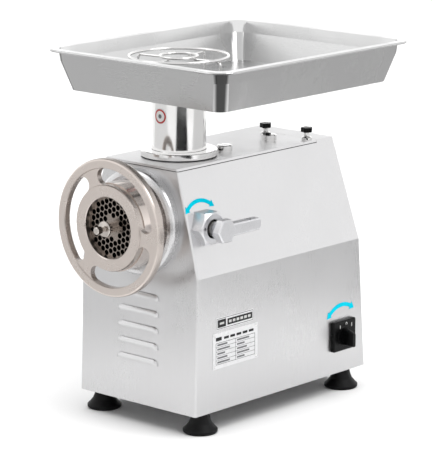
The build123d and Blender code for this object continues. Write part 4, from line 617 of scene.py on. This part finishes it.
def floor_card(name, azimuth, distance, size, emission):
    """Card on the floor that only reflections see: size is across and along its direction."""
    turn = math.radians(azimuth)
    card, tree = panel(name, Vector((0, 0, CARD_HEIGHT)) + toward(turn, 0) * distance, size, turn)
    tree.nodes.clear()
    light = tree.nodes.new("ShaderNodeEmission")
    light.inputs["Color"].default_value = (1.0, 1.0, 1.0, 1.0)
    light.inputs["Strength"].default_value = emission
    out = tree.nodes.new("ShaderNodeOutputMaterial")
    tree.links.new(light.outputs[0], out.inputs[0])
    card.visible_camera = False
    card.visible_diffuse = False
    card.visible_shadow = False
    card.visible_transmission = False


def make_world():
    """White for the camera; dimmer for bounced light, brighter low down for reflections."""
    world = bpy.data.worlds.new("studio")
    scene.world = world
    world.use_nodes = True
    tree = world.node_tree
    nodes, wire = tree.nodes, tree.links.new
    path = nodes.new("ShaderNodeLightPath")
    place = nodes.new("ShaderNodeTexCoord")
    apart = nodes.new("ShaderNodeSeparateXYZ")
    wire(place.outputs["Generated"], apart.inputs[0])
    slope = nodes.new("ShaderNodeMapRange")
    slope.inputs["From Min"].default_value = GLOSS_FROM
    slope.inputs["From Max"].default_value = GLOSS_TO
    slope.inputs["To Min"].default_value = GLOSS_LOW
    slope.inputs["To Max"].default_value = GLOSS_HIGH
    wire(apart.outputs["Z"], slope.inputs["Value"])
    bounce = nodes.new("ShaderNodeMix")
    bounce.inputs[2].default_value = DOME
    wire(path.outputs["Is Glossy Ray"], bounce.inputs[0])
    wire(slope.outputs[0], bounce.inputs[3])
    seen = nodes.new("ShaderNodeMix")
    seen.inputs[3].default_value = SEEN_WHITE
    wire(path.outputs["Is Camera Ray"], seen.inputs[0])
    wire(bounce.outputs[0], seen.inputs[2])
    wire(seen.outputs[0], nodes["Background"].inputs["Strength"])
    nodes["Background"].inputs["Color"].default_value = (1.0, 1.0, 1.0, 1.0)


def overhead(strength, spread):
    """One very soft light from straight above, for the dark under the body; reflections don't see it."""
    data = bpy.data.lights.new("overhead", "SUN")
    data.energy = strength
    data.angle = math.radians(spread)
    light = link(bpy.data.objects.new("overhead", data))
    light.visible_glossy = False


def softbox(name, azimuth, elevation, distance, size, power):
    data = bpy.data.lights.new(name, "AREA")
    data.shape = "RECTANGLE"
    data.size, data.size_y = size
    data.energy = power
    light = link(bpy.data.objects.new(name, data))
    away = toward(math.radians(azimuth), math.radians(elevation))
    light.location = LIGHT_AIM + away * distance
    light.rotation_mode = "QUATERNION"
    light.rotation_quaternion = away.to_track_quat("Z", "Y")


def make_stage():
    make_floor()
    floor_card("dark_card", 53, 2.15, (1.75, 1.8), 0.01)
    floor_card("side_card", 138, 1.9, (2.6, 2.4), 0.82)
    floor_card("front_card", -42, 1.9, (2.8, 2.6), 0.92)
    make_world()
    softbox("key", 100.0, 50.0, 2.6, (1.6, 1.2), 26.0)
    softbox("fill", -40.0, 45.0, 3.0, (1.6, 1.6), 10.0)
    overhead(3.3, 55.0)


make_camera()
make_stage()
finishes = make_materials()
dress(finishes)
plate_marks(finishes)
switch_marks(finishes)
sign_marks(finishes)
boss_seal(finishes)
